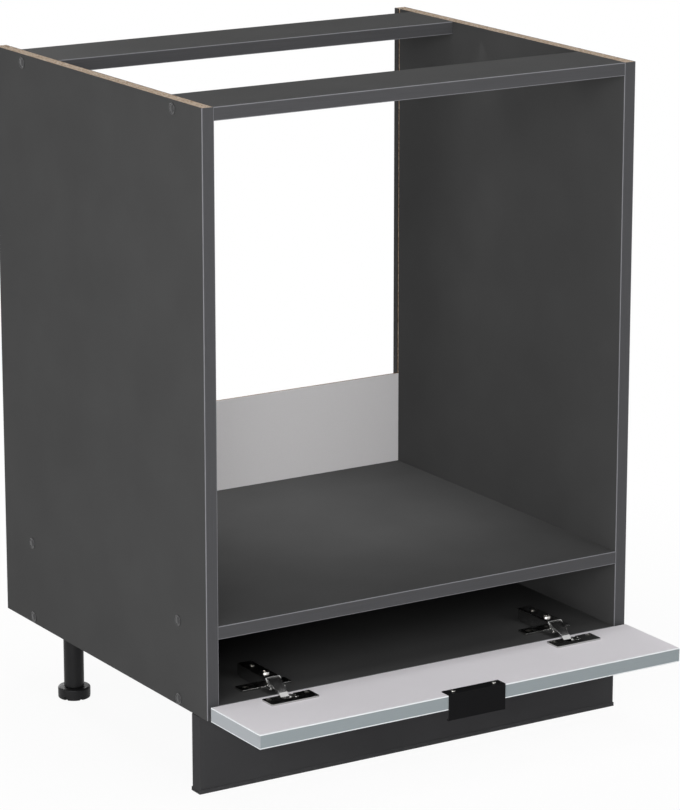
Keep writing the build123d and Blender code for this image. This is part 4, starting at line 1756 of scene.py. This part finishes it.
@dataclass
class Lamp:
    """One soft studio lamp, its place, aim and size in metres and its spread in degrees."""

    name: str
    place: tuple[float, float, float]
    watts: float
    aim: tuple[float, float, float] = (0.0, 0.0, 0.4)
    size: tuple[float, float] = (2.4, 2.4)
    spread: float = 180.0

    def build(self) -> None:
        """Hangs the lamp and turns it to its aim."""
        light = bpy.data.lights.new(self.name, "AREA")
        light.shape = "RECTANGLE"
        light.size, light.size_y = self.size
        light.energy = self.watts
        light.spread = math.radians(self.spread)
        made = bpy.data.objects.new(self.name, light)
        made.location = self.place
        way = Vector(self.aim) - Vector(self.place)
        made.rotation_euler = way.to_track_quat("-Z", "Y").to_euler()
        bpy.context.scene.collection.objects.link(made)


@dataclass
class Studio:
    """The white floor, soft lamps and camera.

    Places are in metres, angles in degrees and the lens in millimetres. The lamps stand where
    the photograph's shading puts them. The right and rear ones light sides that it doesn't
    show, and the niche one stands in for the light that it has under the rails.
    """

    floor_half: float = 14.0
    sky: float = 0.1
    camera_place: tuple[float, float, float] = (-2.3653, -3.8040, 1.5683)
    camera_pitch: float = 75.312
    camera_yaw: float = 31.920
    lens: float = 167.36
    lamps: list[Lamp] = field(
        default_factory=lambda: [
            Lamp("key", (-2.9, -3.1, 1.3), 112.0),
            Lamp("left", (-4.0, -0.5, 1.2), 34.0),
            Lamp("right", (4.0, 1.2, 1.2), 30.0),
            Lamp("rear", (0.6, 4.4, 1.2), 70.0),
            Lamp("front", (0.5, -3.4, 2.8), 42.0),
            Lamp("top", (0.0, -0.3, 3.5), 38.0),
            Lamp("niche", (0.02, 0.08, 0.78), 0.42, (0.06, 0.16, 0.2), (0.45, 0.3), 60.0),
        ]
    )

    def build(self) -> None:
        """Sets up the floor, world, lamps and camera."""
        self.floor()
        self.world()
        for lamp in self.lamps:
            lamp.build()
        self.camera()
        bpy.context.scene.view_settings.view_transform = "Standard"

    def floor(self) -> None:
        """Lays the floor under the feet."""
        half = self.floor_half
        mesh = bpy.data.meshes.new("studio_floor")
        corners = [(-half, -half, 0), (half, -half, 0), (half, half, 0), (-half, half, 0)]
        mesh.from_pydata(corners, [], [(0, 1, 2, 3)])
        mesh.materials.append(PAPER.material())
        link(mesh, "studio_floor")

    def world(self) -> None:
        """White to look at and in mirrors, a soft grey level as light."""
        world = bpy.data.worlds.new("studio")
        bpy.context.scene.world = world
        world.use_nodes = True
        tree = world.node_tree
        tree.nodes.clear()
        soft = add(tree, "ShaderNodeBackground", {"Color": linear("FFFFFF"), "Strength": self.sky})
        white = add(tree, "ShaderNodeBackground", {"Color": linear("FFFFFF"), "Strength": 1.0})
        mixed = add(tree, "ShaderNodeMixShader", {0: looked_at(tree), 1: soft, 2: white})
        add(tree, "ShaderNodeOutputWorld", {"Surface": mixed})

    def camera(self) -> None:
        """Stands the camera where the object is seen from its left front."""
        data = bpy.data.cameras.new("camera")
        data.sensor_width = 36.0
        data.lens = self.lens
        data.clip_end = 100.0
        made = bpy.data.objects.new("camera", data)
        made.location = self.camera_place
        pitch, yaw = math.radians(self.camera_pitch), math.radians(self.camera_yaw)
        made.rotation_euler = (pitch, 0.0, -yaw)
        bpy.context.scene.collection.objects.link(made)
        bpy.context.scene.camera = made


def main() -> None:
    """Builds the object piece by piece, then the studio."""
    logging.basicConfig(level=logging.INFO, format="%(message)s")
    for part in (Carcass(), CupHinges(), Flap(), Plinth(), Legs(), Studio()):
        part.build()


if __name__ == "__main__":
    main()
